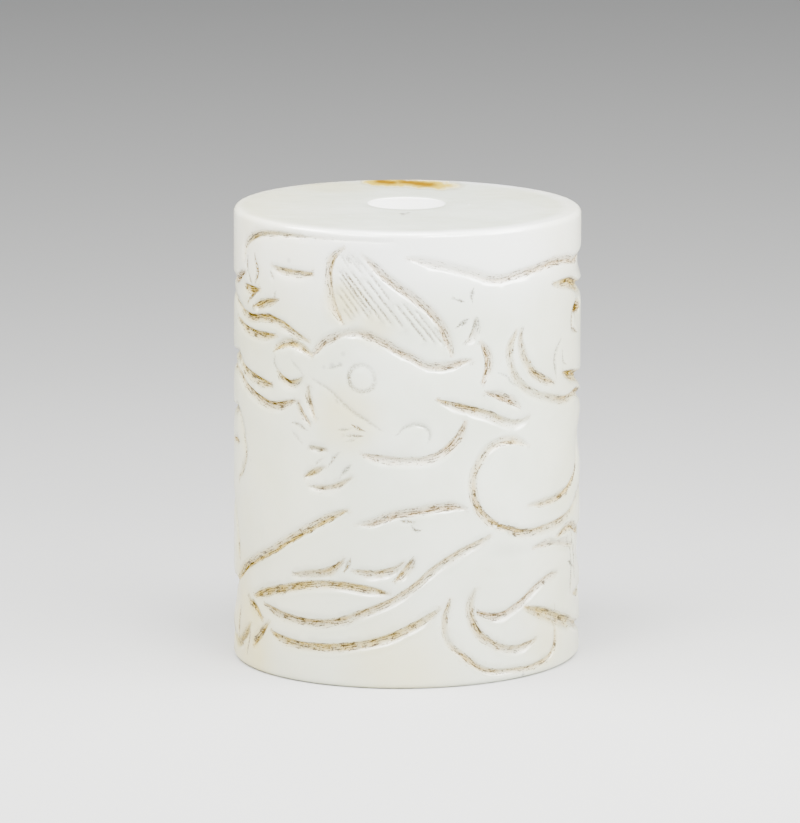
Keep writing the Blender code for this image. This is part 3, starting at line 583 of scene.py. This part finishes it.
def turnedRings():
    # rings of points from the side's top edge over the top face, down the bore and out under the base
    turns = 2 * math.pi * np.arange(bead["ringSides"]) / bead["ringSides"]
    steps = np.linspace(0, math.pi / 2, bead["roundSteps"] + 1)

    def rim(radius, share):
        down = 1 if share == 0 else -1
        made = []
        for step in steps[1:]:
            inset = bead["edgeRound"] * (1 - math.cos(step))
            rise = bead["edgeRound"] * (1 - math.sin(step))
            made.append(bodyPoints(radius - inset, turns, share, down * rise))
        return made

    def mouth(atTop):
        made = []
        for step in steps:
            radius = bead["boreRadius"] + bead["boreRound"] * (1 - math.sin(step))
            sunk = bead["boreRound"] * (1 - math.cos(step))
            x = bead["boreX"] + radius * np.sin(turns)
            y = bead["boreY"] - radius * np.cos(turns)
            made.append(np.stack([x, y, topAt(x, y) - sunk if atTop else np.full(len(x), sunk)], axis=1))
        return made

    def ringsBetween(first, last, count):
        return [first + (last - first) * i / (count + 1) for i in range(1, count + 1)]

    topRim, baseRim = rim(bead["topRadius"], 1), rim(bead["baseRadius"], 0)
    topMouth, baseMouth = mouth(True), mouth(False)
    rings = topRim + ringsBetween(topRim[-1], topMouth[0], bead["topRings"]) + topMouth
    rings += ringsBetween(topMouth[-1], baseMouth[-1], bead["boreRings"]) + baseMouth[::-1]
    rings += ringsBetween(baseMouth[0], baseRim[-1], bead["topRings"]) + baseRim[::-1]
    return rings


def storeOn(mesh, values):
    # each value goes on the mesh's points, as a way where it has three columns
    for name, value in values.items():
        value = np.asarray(value, float)
        kind, field = ("FLOAT_VECTOR", "vector") if value.ndim == 2 else ("FLOAT", "value")
        mesh.attributes.new(name, kind, "POINT").data.foreach_set(field, value.ravel())


def makeBlank(made):
    # the whole closed surface before it is carved, with what the carving needs stored on its points
    sheet = layOut(made)
    print("side laid out:", len(sheet), "points")
    faces = joinPoints(sheet)
    rings = turnedRings()
    points = np.concatenate([onSide(sheet)] + rings)
    ring = np.arange(bead["ringSides"])
    turned = [ring + len(ring), *(ring + len(sheet) + len(ring) * i for i in range(len(rings))), ring]
    quads = []
    for inner, outer in zip(turned, turned[1:]):
        quads.append(np.stack([inner, np.roll(inner, -1), np.roll(outer, -1), outer], axis=1))
    quads = np.concatenate(quads)
    corner = points[faces]
    normal = np.cross(corner[:, 1] - corner[:, 0], corner[:, 2] - corner[:, 0])
    inward = (normal[:, :2] * corner.mean(axis=1)[:, :2]).sum(axis=1) < 0
    faces[inward] = faces[inward][:, ::-1]
    mesh = bpy.data.meshes.new("carvedBead")
    mesh.from_pydata(points.tolist(), [], faces.tolist() + quads.tolist())
    mesh.update()
    angles = sheet[:, 0] / bead["topRadius"]
    toRim = np.minimum(sheet[:, 1], bead["height"] - sheet[:, 1]) - bead["edgeRound"]
    onSheet = {
        "outward": np.stack([np.sin(angles), -np.cos(angles), np.zeros(len(sheet))], axis=1),
        "carveShare": np.clip(toRim / cuts["rimFade"], 0, 1),
        "groundDrop": groundDrop(made, sheet),
    }
    plain = len(points) - len(sheet)  # the faces and the bore aren't carved
    for name, value in onSheet.items():
        storeOn(mesh, {name: np.concatenate([value, np.zeros((plain, *value.shape[1:]))])})
    return mesh


def makeLinesObject(name, made):
    points = np.concatenate([onSide(cut["line"]) for cut in made])
    ends = set(np.cumsum([len(cut["line"]) for cut in made]).tolist())
    mesh = bpy.data.meshes.new(name)
    mesh.from_pydata(points.tolist(), [(i - 1, i) for i in range(1, len(points)) if i not in ends], [])
    storeOn(mesh, {value: np.concatenate([cut[value] for cut in made]) for value in lineValues})
    return bpy.data.objects.new(name, mesh)


def makeCombObject():
    # a point at the start of each comb line
    ends = combEnds()
    start, end = onSide(ends[:, 0]), onSide(ends[:, 1])
    length = np.linalg.norm(end - start, axis=1)
    width, depth = cuts["sections"]["comb"]
    same = np.ones(len(length))
    mesh = bpy.data.meshes.new("combStarts")
    mesh.from_pydata(start.tolist(), [], [])
    storeOn(mesh, {
        "combRun": (end - start) / length[:, None],
        "combLength": length,
        "halfWidth": same * width / 2,
        "cutDepth": same * depth,
        "stain": [line[3] / 100 for line in comb["lines"]],
        "stainTone": same * tones["dusty"],
        "leftWay": [leftOnSide(line)[0] for line in ends],
    })
    return bpy.data.objects.new("combStarts", mesh)


class Wire:
    # what one node hands to others, so that it can be written into sums like a number

    def __init__(self, wiring, socket):
        self.wiring = wiring
        self.socket = socket

    def __getitem__(self, output):
        return Wire(self.wiring, self.socket.node.outputs[output])

    def __add__(self, other):
        return self.wiring.maths("ADD", self, other)

    def __sub__(self, other):
        return self.wiring.maths("SUBTRACT", self, other)

    def __rsub__(self, other):
        return self.wiring.maths("SUBTRACT", other, self)

    def __mul__(self, other):
        return self.wiring.maths("MULTIPLY", self, other)

    def __truediv__(self, other):
        return self.wiring.maths("DIVIDE", self, other)

    def __rtruediv__(self, other):
        return self.wiring.maths("DIVIDE", other, self)

    def __abs__(self):
        return self.wiring.maths("ABSOLUTE", self)


class Wiring:
    # makes the nodes of one tree

    def __init__(self, tree):
        self.tree = tree

    def fill(self, socket, value):
        # what comes from other nodes is linked, and a fixed value is set
        if isinstance(value, (Wire, list)):
            for wire in value if isinstance(value, list) else [value]:
                self.tree.links.new(wire.socket, socket)
        else:
            socket.default_value = value

    def node(self, kind, inputs=None, **settings):
        made = self.tree.nodes.new(kind)
        for key, value in settings.items():
            setattr(made, key, value)
        for key, value in (inputs or {}).items():
            self.fill(made.inputs[key], value)
        return Wire(self, made.outputs[0])

    def maths(self, operation, *values, clamp=False):
        return self.node("ShaderNodeMath", dict(enumerate(values)), operation=operation, use_clamp=clamp)

    def larger(self, first, second, clamp=False):
        return self.maths("MAXIMUM", first, second, clamp=clamp)

    def smaller(self, first, second):
        return self.maths("MINIMUM", first, second)

    def ways(self, operation, *values):
        return self.node("ShaderNodeVectorMath", dict(enumerate(values)), operation=operation)

    def scaled(self, way, scale):
        return self.node("ShaderNodeVectorMath", {0: way, "Scale": scale}, operation="SCALE")

    def ramp(self, value, low, high, top=1.0, bottom=0.0):
        # eases from the bottom to the top as the value goes from low to high
        inputs = {"Value": value, "From Min": low, "From Max": high, "To Min": bottom, "To Max": top}
        return self.node("ShaderNodeMapRange", inputs, interpolation_type="SMOOTHSTEP")


def carvingTree():
    tree = bpy.data.node_groups.new("carveBead", "GeometryNodeTree")
    tree.interface.new_socket("Geometry", in_out="OUTPUT", socket_type="NodeSocketGeometry")
    inputs = {
        "Geometry": ("Geometry",),
        "Object": ("Deep Lines", "Outline Lines", "Light Lines", "Comb Starts"),
        "Int": ("Comb Steps", "Seed"),
        "Float": ("Wobble", "Wobble Size"),
        "Material": ("Jade",),
    }
    for kind, names in inputs.items():
        for name in names:
            tree.interface.new_socket(name, in_out="INPUT", socket_type="NodeSocket" + kind)
    wiring = Wiring(tree)
    node, maths, ramp = wiring.node, wiring.maths, wiring.ramp
    larger, smaller = wiring.larger, wiring.smaller
    start = node("NodeGroupInput")
    blank = start["Geometry"]
    place = node("GeometryNodeInputPosition")

    def drawn(name):
        return node("GeometryNodeObjectInfo", {"Object": start[name]})["Geometry"]

    def stored(name, kind="FLOAT"):
        return node("GeometryNodeInputNamedAttribute", {"Name": name}, data_type=kind)["Attribute"]

    def store(geometry, name, value):
        inputs = {"Geometry": geometry, "Name": name, "Value": value}
        return node("GeometryNodeStoreNamedAttribute", inputs, data_type="FLOAT", domain="POINT")

    def noise(scale, detail, roughness=0.5):
        inputs = {"Vector": place, "W": start["Seed"]}
        inputs.update({"Scale": scale, "Detail": detail, "Roughness": roughness})
        return node("ShaderNodeTexNoise", inputs, noise_dimensions="4D")

    def choose(factor, first, second):
        return node("ShaderNodeMix", {0: factor, 2: first, 3: second}, data_type="FLOAT")

    # comb: a unit line set on each start, turned along its run, drawn to its length and laid on the surface
    unit = {"Count": start["Comb Steps"], "Start Location": (0, 0, 0), "Offset": (1, 0, 0)}
    unitLine = node("GeometryNodeMeshLine", unit, mode="END_POINTS")
    unitLine = store(unitLine, "alongComb", node("ShaderNodeSeparateXYZ", {0: place})["X"])
    turn = node("FunctionNodeAlignRotationToVector", {"Vector": stored("combRun", "FLOAT_VECTOR")}, axis="X")
    stretch = node("ShaderNodeCombineXYZ", {"X": stored("combLength"), "Y": 1.0, "Z": 1.0})
    onStarts = {"Points": drawn("Comb Starts"), "Instance": unitLine, "Rotation": turn, "Scale": stretch}
    combLines = node("GeometryNodeInstanceOnPoints", onStarts)
    combLines = node("GeometryNodeRealizeInstances", {"Geometry": combLines})
    taper = ramp(abs(stored("alongComb") - 0.5), 0.5, 0.36, bottom=0.25)
    combLines = store(combLines, "cutDepth", stored("cutDepth") * taper)
    combLines = store(combLines, "stain", stored("stain") * taper * comb["stainShare"])
    onBlank = node("GeometryNodeProximity", {"Geometry": blank}, target_element="FACES")
    combLines = node("GeometryNodeSetPosition", {"Geometry": combLines, "Position": onBlank})

    shift = (noise(1.0 / start["Wobble Size"], 3.0, 0.6) - 0.5) * start["Wobble"]
    uneven = noise(cuts["unevenScale"], 1.0) * 0.9 + 0.55

    def passOver(lines):
        # how far each point of the surface is from the nearest line, and what that does there
        near = node("GeometryNodeProximity", {"Geometry": lines}, target_element="EDGES")
        nearest = {"Geometry": lines, "Sample Position": near}
        index = node("GeometryNodeSampleNearest", nearest, domain="POINT")

        def fromLine(name, kind="FLOAT"):
            inputs = {"Geometry": lines, "Value": stored(name, kind), "Index": index}
            return node("GeometryNodeSampleIndex", inputs, data_type=kind, domain="POINT")

        half, depth, stain, tone, spread, alongLine = (fromLine(name) for name in lineValues[:-1])
        leftWay = fromLine("leftWay", "FLOAT_VECTOR")
        across = wiring.ways("DOT_PRODUCT", wiring.ways("SUBTRACT", place, near), leftWay)["Value"]
        beyond = near["Distance"] * near["Distance"] - across * across
        within = ramp(maths("SQRT", larger(beyond, 0.0)) / half, *cuts["pastEnd"])
        across = across + shift * smaller(half / 0.0003, 1.0)  # it wobbles less on thin lines
        share = abs(across) / half
        amount = abs(spread)
        slanted = maths("GREATER_THAN", amount, 0.1)
        toSpread = across * maths("SIGN", spread) / half

        # a slanted cut has a steep wall on one side, and an easy one where the stain spreads
        slant = smaller(ramp(toSpread, *cuts["steepWall"]), ramp(toSpread, *cuts["easyWall"]))
        groove = choose(slanted, ramp(share, *cuts["evenWall"]), slant) * within
        slantWash = smaller(ramp(toSpread, *cuts["steepWash"]), ramp(toSpread, *cuts["easyWash"]))
        slantWash = slantWash * (amount * 0.6 + 0.4)
        reach = within * stain
        return {
            "sunk": groove * depth * uneven,
            "groove": groove,
            "wash": choose(slanted, ramp(share, *cuts["evenWash"]) * 0.6, slantWash) * reach,
            "core": ramp(share, *cuts["darkCore"]) * reach,
            "stainTone": tone,
            "alongLine": alongLine,
            "acrossLine": across / half,
        }

    def laidOver(first, second, kept):
        # the larger of two passes, in what is kept of the second, and the place and tone of the more stained
        stronger = maths("GREATER_THAN", second["core"] + second["wash"], first["core"] + first["wash"])
        both = {name: choose(stronger, first[name], second[name]) for name in placeNames}
        for name in ("sunk", "groove", "wash", "core"):
            both[name] = larger(first[name], second[name]) if name in kept else first[name]
        return both

    placeNames = ("stainTone", "alongLine", "acrossLine")
    light = passOver(node("GeometryNodeJoinGeometry", {0: [drawn("Light Lines"), combLines]}))
    outline, deep = passOver(drawn("Outline Lines")), passOver(drawn("Deep Lines"))
    total = laidOver(outline, deep, ("sunk", "groove", "wash", "core"))
    total = laidOver(total, light, ("sunk", "groove"))
    total["light"] = light["core"]
    carveShare = stored("carveShare")
    sunk = (total["sunk"] + stored("groundDrop")) * carveShare
    offset = wiring.scaled(stored("outward", "FLOAT_VECTOR"), sunk * -1.0)
    carved = blank
    for name in ("wash", "core", "light", "groove"):
        carved = store(carved, name + "Share", total[name] * carveShare)
    for name in placeNames:
        carved = store(carved, name, total[name])
    carved = node("GeometryNodeSetPosition", {"Geometry": carved, "Offset": offset})
    carved = node("GeometryNodeSetShadeSmooth", {"Geometry": carved})
    carved = node("GeometryNodeRealizeInstances", {"Geometry": carved})
    carved = node("GeometryNodeSetMaterial", {"Geometry": carved, "Material": start["Jade"]})
    wiring.fill(tree.nodes.new("NodeGroupOutput").inputs["Geometry"], carved)
    return tree


stone = {
    "clear": (0.69, 0.73, 0.60, 1),
    "milky": (0.775, 0.81, 0.70, 1),
    "bright": (0.94, 0.96, 0.91, 1),  # painted light: the side's upper band, painted whiter where light from above fills it
    # painted shade: the colour the side darkens to towards the bottom
    "deep": (0.55, 0.56, 0.44, 1),
    "warm": (0.66, 0.59, 0.29, 1),
    "washes": ((0.56, 0.42, 0.12, 1), (0.58, 0.46, 0.28, 1), (0.55, 0.52, 0.39, 1)),  # ochre, tan, grey
    "grains": ((0.155, 0.09, 0.001, 1), (0.16, 0.105, 0.025, 1), (0.135, 0.12, 0.07, 1)),
    "darkest": (0.05, 0.03, 0.005, 1),
    "russet": (0.15, 0.075, 0.0, 1),
    "russetHalo": (0.34, 0.235, 0.0, 1),
    "smudge": (0.24, 0.23, 0.20, 1),
    "speck": (1, 1, 1, 1),
    # painted light: the inside of the bore, painted near white
    "boreWall": (1, 1, 0.97, 1),
    "upperBand": (0.0270, 0.0340, 0.95),  # painted light on the side's upper band: from and to a height, and how much
    # painted shade towards the bottom: from and to a height, and how much
    "lowerBand": (0.022, 0.0, 0.5),
    "outerSkin": (0.0120, 0.0131),  # by distance from the axis
    # painted shade: warmer and darker towards the left and right edges of the side
    "warmLeft": (-0.001, -0.0142, 0.42),
    "warmRight": (0.0085, 0.0138, 0.30),
    "clouds": (170, 3.0, 0.55),  # each noise's scale, detail and roughness
    "warmClouds": (330, 3.0, 0.5),
    "frayed": (900, 4.0, 0.65),
    "dulled": (1200, 2.0, 0.5),
    "scratched": (5200, 3.0, 0.6),
    "polished": (420, 2.0, 0.5),
    "scratchBump": (0.2, 0.00003),  # strength and distance
    "polishBump": (0.5, 0.00008),
    "grooveBump": (0.5, 0.00006),
    "roughness": 0.15,
    "shine": 1.0,
    "refraction": 1.61,
    "grainSize": 0.00014,
    "streakLength": 0.0008,
    "streaksAcross": 3.2,
    "patchSize": 0.0011,
    "subsurface": 0.15,
    "subsurfaceRadius": (1.0, 0.94, 0.8),
    "subsurfaceScale": 0.0005,
}

# The russet skin at the back of the top: each strip's ends, width and softness
russetStrips = [
    ((-0.0016, 0.0121), (-0.0009, 0.0117), 0.00055, 0.8),
    ((0.0003, 0.0119), (0.0020, 0.0107), 0.00065, 0.8),
]
haloStrips = [
    ((-0.0018, 0.0119), (0.0027, 0.0105), 0.0013, 0.45),
    ((0.0024, 0.0108), (0.0037, 0.0103), 0.0009, 0.95),
]

tintAndShadeSpots = {  # warmer parts of the stone, on the side's sheet or on the top face: place, reach, strength; the patches at the left edge (-17.5) are painted shade, darkening the lower left
    "side": [
        (-5.0, 21.0, 0.0045, 0.60), (-5.0, 29.8, 0.0030, 0.70), (-2.5, 28.2, 0.0026, 0.50),
        (-17.5, 1.5, 0.0090, 1.50), (-17.5, 7.0, 0.0060, 0.75), (-16.0, 28.5, 0.0045, 0.50),
        (13.0, 2.5, 0.0045, 0.45), (-1.0, 1.0, 0.0070, 0.50), (10.4, 4.6, 0.0016, 0.25),
    ],
    "top": [(-0.0060, 0.0095, 0.0060, 0.50), (0.0090, 0.0060, 0.0050, 0.25)],
}

smudges = {  # small grey smudges, or pale specks where negative
    "top": [
        (0.00000, -0.0041, 0.00034, 1.0), (0.00047, -0.0036, 0.00028, 0.7), (0.00005, -0.0047, 0.00030, 0.9),
        (0.00035, -0.0042, 0.00030, 0.6), (0.0052, 0.0004, 0.00020, -1.0), (0.0052, 0.0008, 0.00016, -1.0),
        (-0.0040, -0.0053, 0.00020, -1.0), (0.00148, 0.0047, 0.00022, 0.25),
    ],
    "side": [
        (-5.9, 24.95, 0.00034, 0.40), (-5.25, 25.1, 0.00024, 0.45), (-5.0, 25.9, 0.00030, 0.30),
        (-6.6, 24.75, 0.00024, 0.30), (-14.9, 16.4, 0.00020, 0.20), (9.75, 0.25, 0.00024, 0.70),
        (-9.9, 32.6, 0.00030, 0.30), (5.0, 30.6, 0.00030, 0.40),
    ],
}


def spotsIn(marks):
    for part, rows in marks.items():
        for first, second, reach, strength in rows:
            spot = (first, second, float(topAt(first, second)))
            if part == "side":
                spot = tuple(onSide(np.array([[arcOf(first), heightOf(second)]]))[0])
            yield spot, reach, strength


def makeJade():
    material = bpy.data.materials.new("whiteJade")
    material.use_nodes = True
    wiring = Wiring(material.node_tree)
    node, maths, ramp, larger, ways = wiring.node, wiring.maths, wiring.ramp, wiring.larger, wiring.ways
    where = node("ShaderNodeTexCoord")["Object"]
    axes = node("ShaderNodeSeparateXYZ", {0: where})

    def noise(scale, detail=2.0, roughness=0.5, vector=None):
        inputs = {"Vector": vector or where, "Scale": scale, "Detail": detail, "Roughness": roughness}
        return node("ShaderNodeTexNoise", inputs)

    def mix(factor, first, second):
        return node("ShaderNodeMix", {0: factor, 6: first, 7: second}, data_type="RGBA")[2]

    def attribute(name):
        return node("ShaderNodeAttribute", attribute_name=name)["Fac"]

    def farFrom(spot):
        return ways("DISTANCE", where, spot)["Value"]

    body = mix(ramp(noise(*stone["clouds"]), 0.35, 0.7), stone["clear"], stone["milky"])
    fromAxis = ways("LENGTH", ways("MULTIPLY", where, (1.0, 1.0, 0.0)))["Value"]
    # painted light: the side is painted whiter towards its top, as light from above falls
    upperBand = ramp(axes["Z"], *stone["upperBand"]) * ramp(fromAxis, *stone["outerSkin"])
    body = mix(upperBand, body, stone["bright"])
    # painted shade: darker and greyer towards the bottom, where less light reaches
    body = mix(ramp(axes["Z"], *stone["lowerBand"]), body, stone["deep"])
    # painted shade towards the left and right edges, then the stone's warmer patches, with painted shade at
    # the lower left edge
    warmTintAndEdgeShade = larger(ramp(axes["X"], *stone["warmLeft"]), ramp(axes["X"], *stone["warmRight"]))
    for spot, reach, strength in spotsIn(tintAndShadeSpots):
        warmTintAndEdgeShade = larger(warmTintAndEdgeShade, ramp(farFrom(spot) / reach, 1.0, 0.1, strength))
    body = mix(warmTintAndEdgeShade * (noise(*stone["warmClouds"]) + 0.5), body, stone["warm"])

    # the stain: a wash on the slope of a cut, and grains that gather along its steep side
    names = ("washShare", "coreShare", "lightShare", "stainTone", "acrossLine")
    wash, core, light, tone, across = (attribute(name) for name in names)
    patches = ramp(noise(1 / stone["patchSize"], 3.0, 0.6), 0.32, 0.62)
    field = noise(1 / stone["grainSize"], 2.0, 0.7)
    coarse = noise(0.5 / stone["grainSize"], 2.0, 0.6)
    onLine = {"X": attribute("alongLine") * (1 / stone["streakLength"]), "Y": across * stone["streaksAcross"]}
    streaks = noise(1.0, 2.0, 0.6, node("ShaderNodeCombineXYZ", onLine))
    nearEdge = ramp(abs(across), 0.3, 0.75)

    def drawnOut(grain, share):
        # grain mixed with streaks, stretched back to the spread of one noise alone
        return (grain * (1 - share) + streaks * share - 0.5) * 1.4 + 0.5

    def byTone(colours):
        firstHalf = mix(ramp(tone, 0.1, 0.65), colours[0], colours[1])
        return mix(ramp(tone, 0.72, 0.98), firstHalf, colours[2])

    def grainsWhere(amount, grain, rarest, reach):
        # more of the noise counts as a grain the more stain there is
        low = rarest - amount * reach
        return ramp(grain, low, low + 0.035) * maths("MULTIPLY", amount, 4.0, clamp=True)

    wash = wash * (patches * 0.5 + 0.5)
    onCore = core * (patches * 0.45 + 0.7)
    body = mix(larger(wash * 1.1, onCore * 1.05, clamp=True), body, byTone(stone["washes"]))
    onEdge = larger(onCore, wash * 0.6) * (nearEdge * 0.8 + 0.66)
    grainColour = byTone(stone["grains"])
    body = mix(grainsWhere(onEdge, drawnOut(field, 0.58), 0.62, 0.2), body, grainColour)
    body = mix(grainsWhere(onEdge, drawnOut(coarse, 0.68), 0.65, 0.18) * 0.85, body, stone["darkest"])
    drawn = light * (ramp(field, 0.38, 0.58, 0.85) + 0.2)
    body = mix(maths("MULTIPLY", drawn, 2.3, clamp=True), body, grainColour)

    # the russet skin left just inside the back of the top rim, with a paler yellow halo
    fray = (noise(*stone["frayed"], ways("MULTIPLY", where, (1.0, 0.35, 1.0))) - 0.5) * 1.5

    def skinStrip(first, last, width, soft):
        way = (last[0] - first[0], last[1] - first[1], 0)
        offset = ways("SUBTRACT", where, (*first, bead["height"]))
        along = ways("DOT_PRODUCT", offset, way)["Value"]
        share = maths("DIVIDE", along, way[0] ** 2 + way[1] ** 2, clamp=True)
        gap = ways("MULTIPLY", ways("SUBTRACT", offset, wiring.scaled(way, share)), (1.0, 0.55, 1.0))
        return ramp(ways("LENGTH", gap)["Value"] / width + fray, 1.0 + soft, 1.0 - soft)

    skin, halo = (larger(*(skinStrip(*strip) for strip in strips)) for strips in (russetStrips, haloStrips))
    body = mix(halo * 0.95, body, stone["russetHalo"])
    body = mix(skin, body, stone["russet"])
    # painted light: the inside of the bore is painted near white, as if lit from within the stone
    boreAxis = node("ShaderNodeCombineXYZ", {"X": bead["boreX"], "Y": bead["boreY"], "Z": axes["Z"]})
    paintedBoreLightMask = ramp(farFrom(boreAxis), bead["boreRadius"] + 0.00008, bead["boreRadius"] + 0.00002)
    body = mix(paintedBoreLightMask, body, stone["boreWall"])
    for spot, reach, strength in spotsIn(smudges):
        there = ramp(farFrom(spot) / reach, 1.0, 0.2, abs(strength))
        body = mix(there, body, stone["smudge" if strength > 0 else "speck"])

    onSkin = ramp(larger(skin, halo), 0.1, 0.6)
    matt = larger(onSkin, larger(wash, onCore) * 0.85, clamp=True)
    dull = larger(larger(wash, core) * 0.45, skin * 0.5)

    def bumped(height, strength, distance, **under):
        inputs = {"Height": height, "Strength": strength, "Distance": distance}
        return node("ShaderNodeBump", {**inputs, **under})

    scratched = bumped(noise(*stone["scratched"]), *stone["scratchBump"])
    polished = bumped(noise(*stone["polished"]), *stone["polishBump"], Normal=scratched)
    rutted = bumped(attribute("grooveShare") * field, *stone["grooveBump"], Normal=polished)
    finish = {
        "Base Color": body,
        "Metallic": 0,
        "IOR": stone["refraction"],
        "Roughness": noise(*stone["dulled"]) * 0.08 + (dull + (stone["roughness"] - 0.04)),
        "Specular IOR Level": (1.0 - matt) * stone["shine"],
        "Subsurface Weight": ramp(onSkin, 1.0, 0.0, stone["subsurface"]),
        "Subsurface Radius": stone["subsurfaceRadius"],
        "Subsurface Scale": stone["subsurfaceScale"],
        "Normal": rutted,
    }
    shader = material.node_tree.nodes["Principled BSDF"]
    for name, value in finish.items():
        wiring.fill(shader.inputs[name], value)
    return material


def carveBead():
    made = allCuts()
    combCuts = [makeCut("comb dusty", 0, ends) for ends in combEnds()]
    blankMesh = makeBlank(made + combCuts)
    print("blank made:", len(blankMesh.polygons), "faces")
    blank = linked("beadBlank", blankMesh)
    helpers = {"Comb Starts": makeCombObject()}
    for name, sections in cuts["passes"].items():
        helpers[name] = makeLinesObject(name, [cut for cut in made if cut["section"] in sections])
    tree = carvingTree()
    modifier = blank.modifiers.new("carve", "NODES")
    modifier.node_group = tree
    values = {
        **helpers,
        "Comb Steps": comb["steps"],
        "Wobble": cuts["wobble"],
        "Wobble Size": cuts["wobbleSize"],
        "Seed": cuts["seed"],
        "Jade": makeJade(),
    }
    for item in tree.interface.items_tree:
        if item.in_out == "INPUT" and item.name in values:
            modifier[item.identifier] = values[item.name]
    bpy.context.view_layer.update()
    evaluated = blank.evaluated_get(bpy.context.evaluated_depsgraph_get())
    mesh = bpy.data.meshes.new_from_object(evaluated)
    mesh.name = "carvedBead"
    piece = linked("carvedBead", mesh)
    for helper in (blank, *helpers.values()):
        bpy.data.objects.remove(helper)
    for name in ("outward", "carveShare", "groundDrop"):
        mesh.attributes.remove(mesh.attributes[name])
    print("bead carved:", len(mesh.polygons), "faces")
    return piece


def makeCamera():
    def sideways(ahead):
        right = ahead.cross(Vector((0, 0, 1))).normalized()
        return right, right.cross(ahead)

    away = Vector((0, -math.cos(view["tilt"]), math.sin(view["tilt"])))
    right, up = sideways(-away)
    ahead = (-away + math.tan(view["aimRight"]) * right + math.tan(view["aimUp"]) * up).normalized()
    right, up = sideways(ahead)
    turned = Matrix.Rotation(-view["roll"], 3, ahead)
    right, up = turned @ right, turned @ up
    data = bpy.data.cameras.new("camera")
    data.lens = view["lens"]
    data.sensor_width = 36
    data.clip_start = 0.01
    data.clip_end = 20
    camera = linked("camera", data)
    spot = away * view["distance"] + Vector((0, 0, view["middle"]))
    turn = Matrix((right, up, -ahead)).transposed()
    camera.matrix_world = Matrix.Translation(spot) @ turn.to_4x4()
    bpy.context.scene.camera = camera


studio = {
    "floorSide": 6.0,
    "floorColour": (0.52, 0.52, 0.51, 1),
    "floorRoughness": 0.85,
    "worldColour": (0.95, 0.97, 1.0, 1),
    "worldStrength": 0.32,
    "aim": (0, 0, 0.018),
    "lamps": {  # turn from the front towards the right and height in degrees, distance, width, height, power
        "keySoftbox": (28, 35, 0.14, 0.07, 0.03, 0.27),
        "leftSoftbox": (-34, 35, 0.14, 0.07, 0.03, 0.22),
        "rightSoftbox": (66, 30, 0.13, 0.06, 0.045, 0.24),
        "farRightSoftbox": (84, 52, 0.11, 0.06, 0.04, 0.12),
        "farLeftSoftbox": (-80, 52, 0.11, 0.06, 0.04, 0.23),
        "topSoftbox": (0, 76, 0.45, 0.23, 0.20, 3.7),
        "frontFill": (-4, 12, 0.80, 0.60, 0.60, 0.6),
    },
}


def makeStudio():
    mesh = bpy.data.meshes.new("floor")
    far = studio["floorSide"] / 2
    mesh.from_pydata([(-far, -far, 0), (far, -far, 0), (far, far, 0), (-far, far, 0)], [], [(0, 1, 2, 3)])
    floor = linked("floor", mesh)
    paper = bpy.data.materials.new("palePaper")
    paper.use_nodes = True
    shader = paper.node_tree.nodes["Principled BSDF"]
    shader.inputs["Base Color"].default_value = studio["floorColour"]
    shader.inputs["Roughness"].default_value = studio["floorRoughness"]
    mesh.materials.append(paper)
    world = bpy.data.worlds.new("studio")
    world.use_nodes = True
    background = world.node_tree.nodes["Background"]
    background.inputs["Color"].default_value = studio["worldColour"]
    background.inputs["Strength"].default_value = studio["worldStrength"]
    bpy.context.scene.world = world
    for name, (turn, rise, distance, wide, high, power) in studio["lamps"].items():
        turn, rise = math.radians(turn), math.radians(rise)
        away = Vector((math.cos(rise) * math.sin(turn), -math.cos(rise) * math.cos(turn), math.sin(rise)))
        lamp = bpy.data.lights.new(name, "AREA")
        lamp.shape = "RECTANGLE"
        lamp.size = wide
        lamp.size_y = high
        lamp.energy = power
        holder = linked(name, lamp)
        holder.location = Vector(studio["aim"]) + away * distance
        holder.rotation_euler = away.to_track_quat("Z", "Y").to_euler()


makeCamera()
makeStudio()
print("camera and studio set")
carved = carveBead()
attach(carved, "root")
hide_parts("bead")
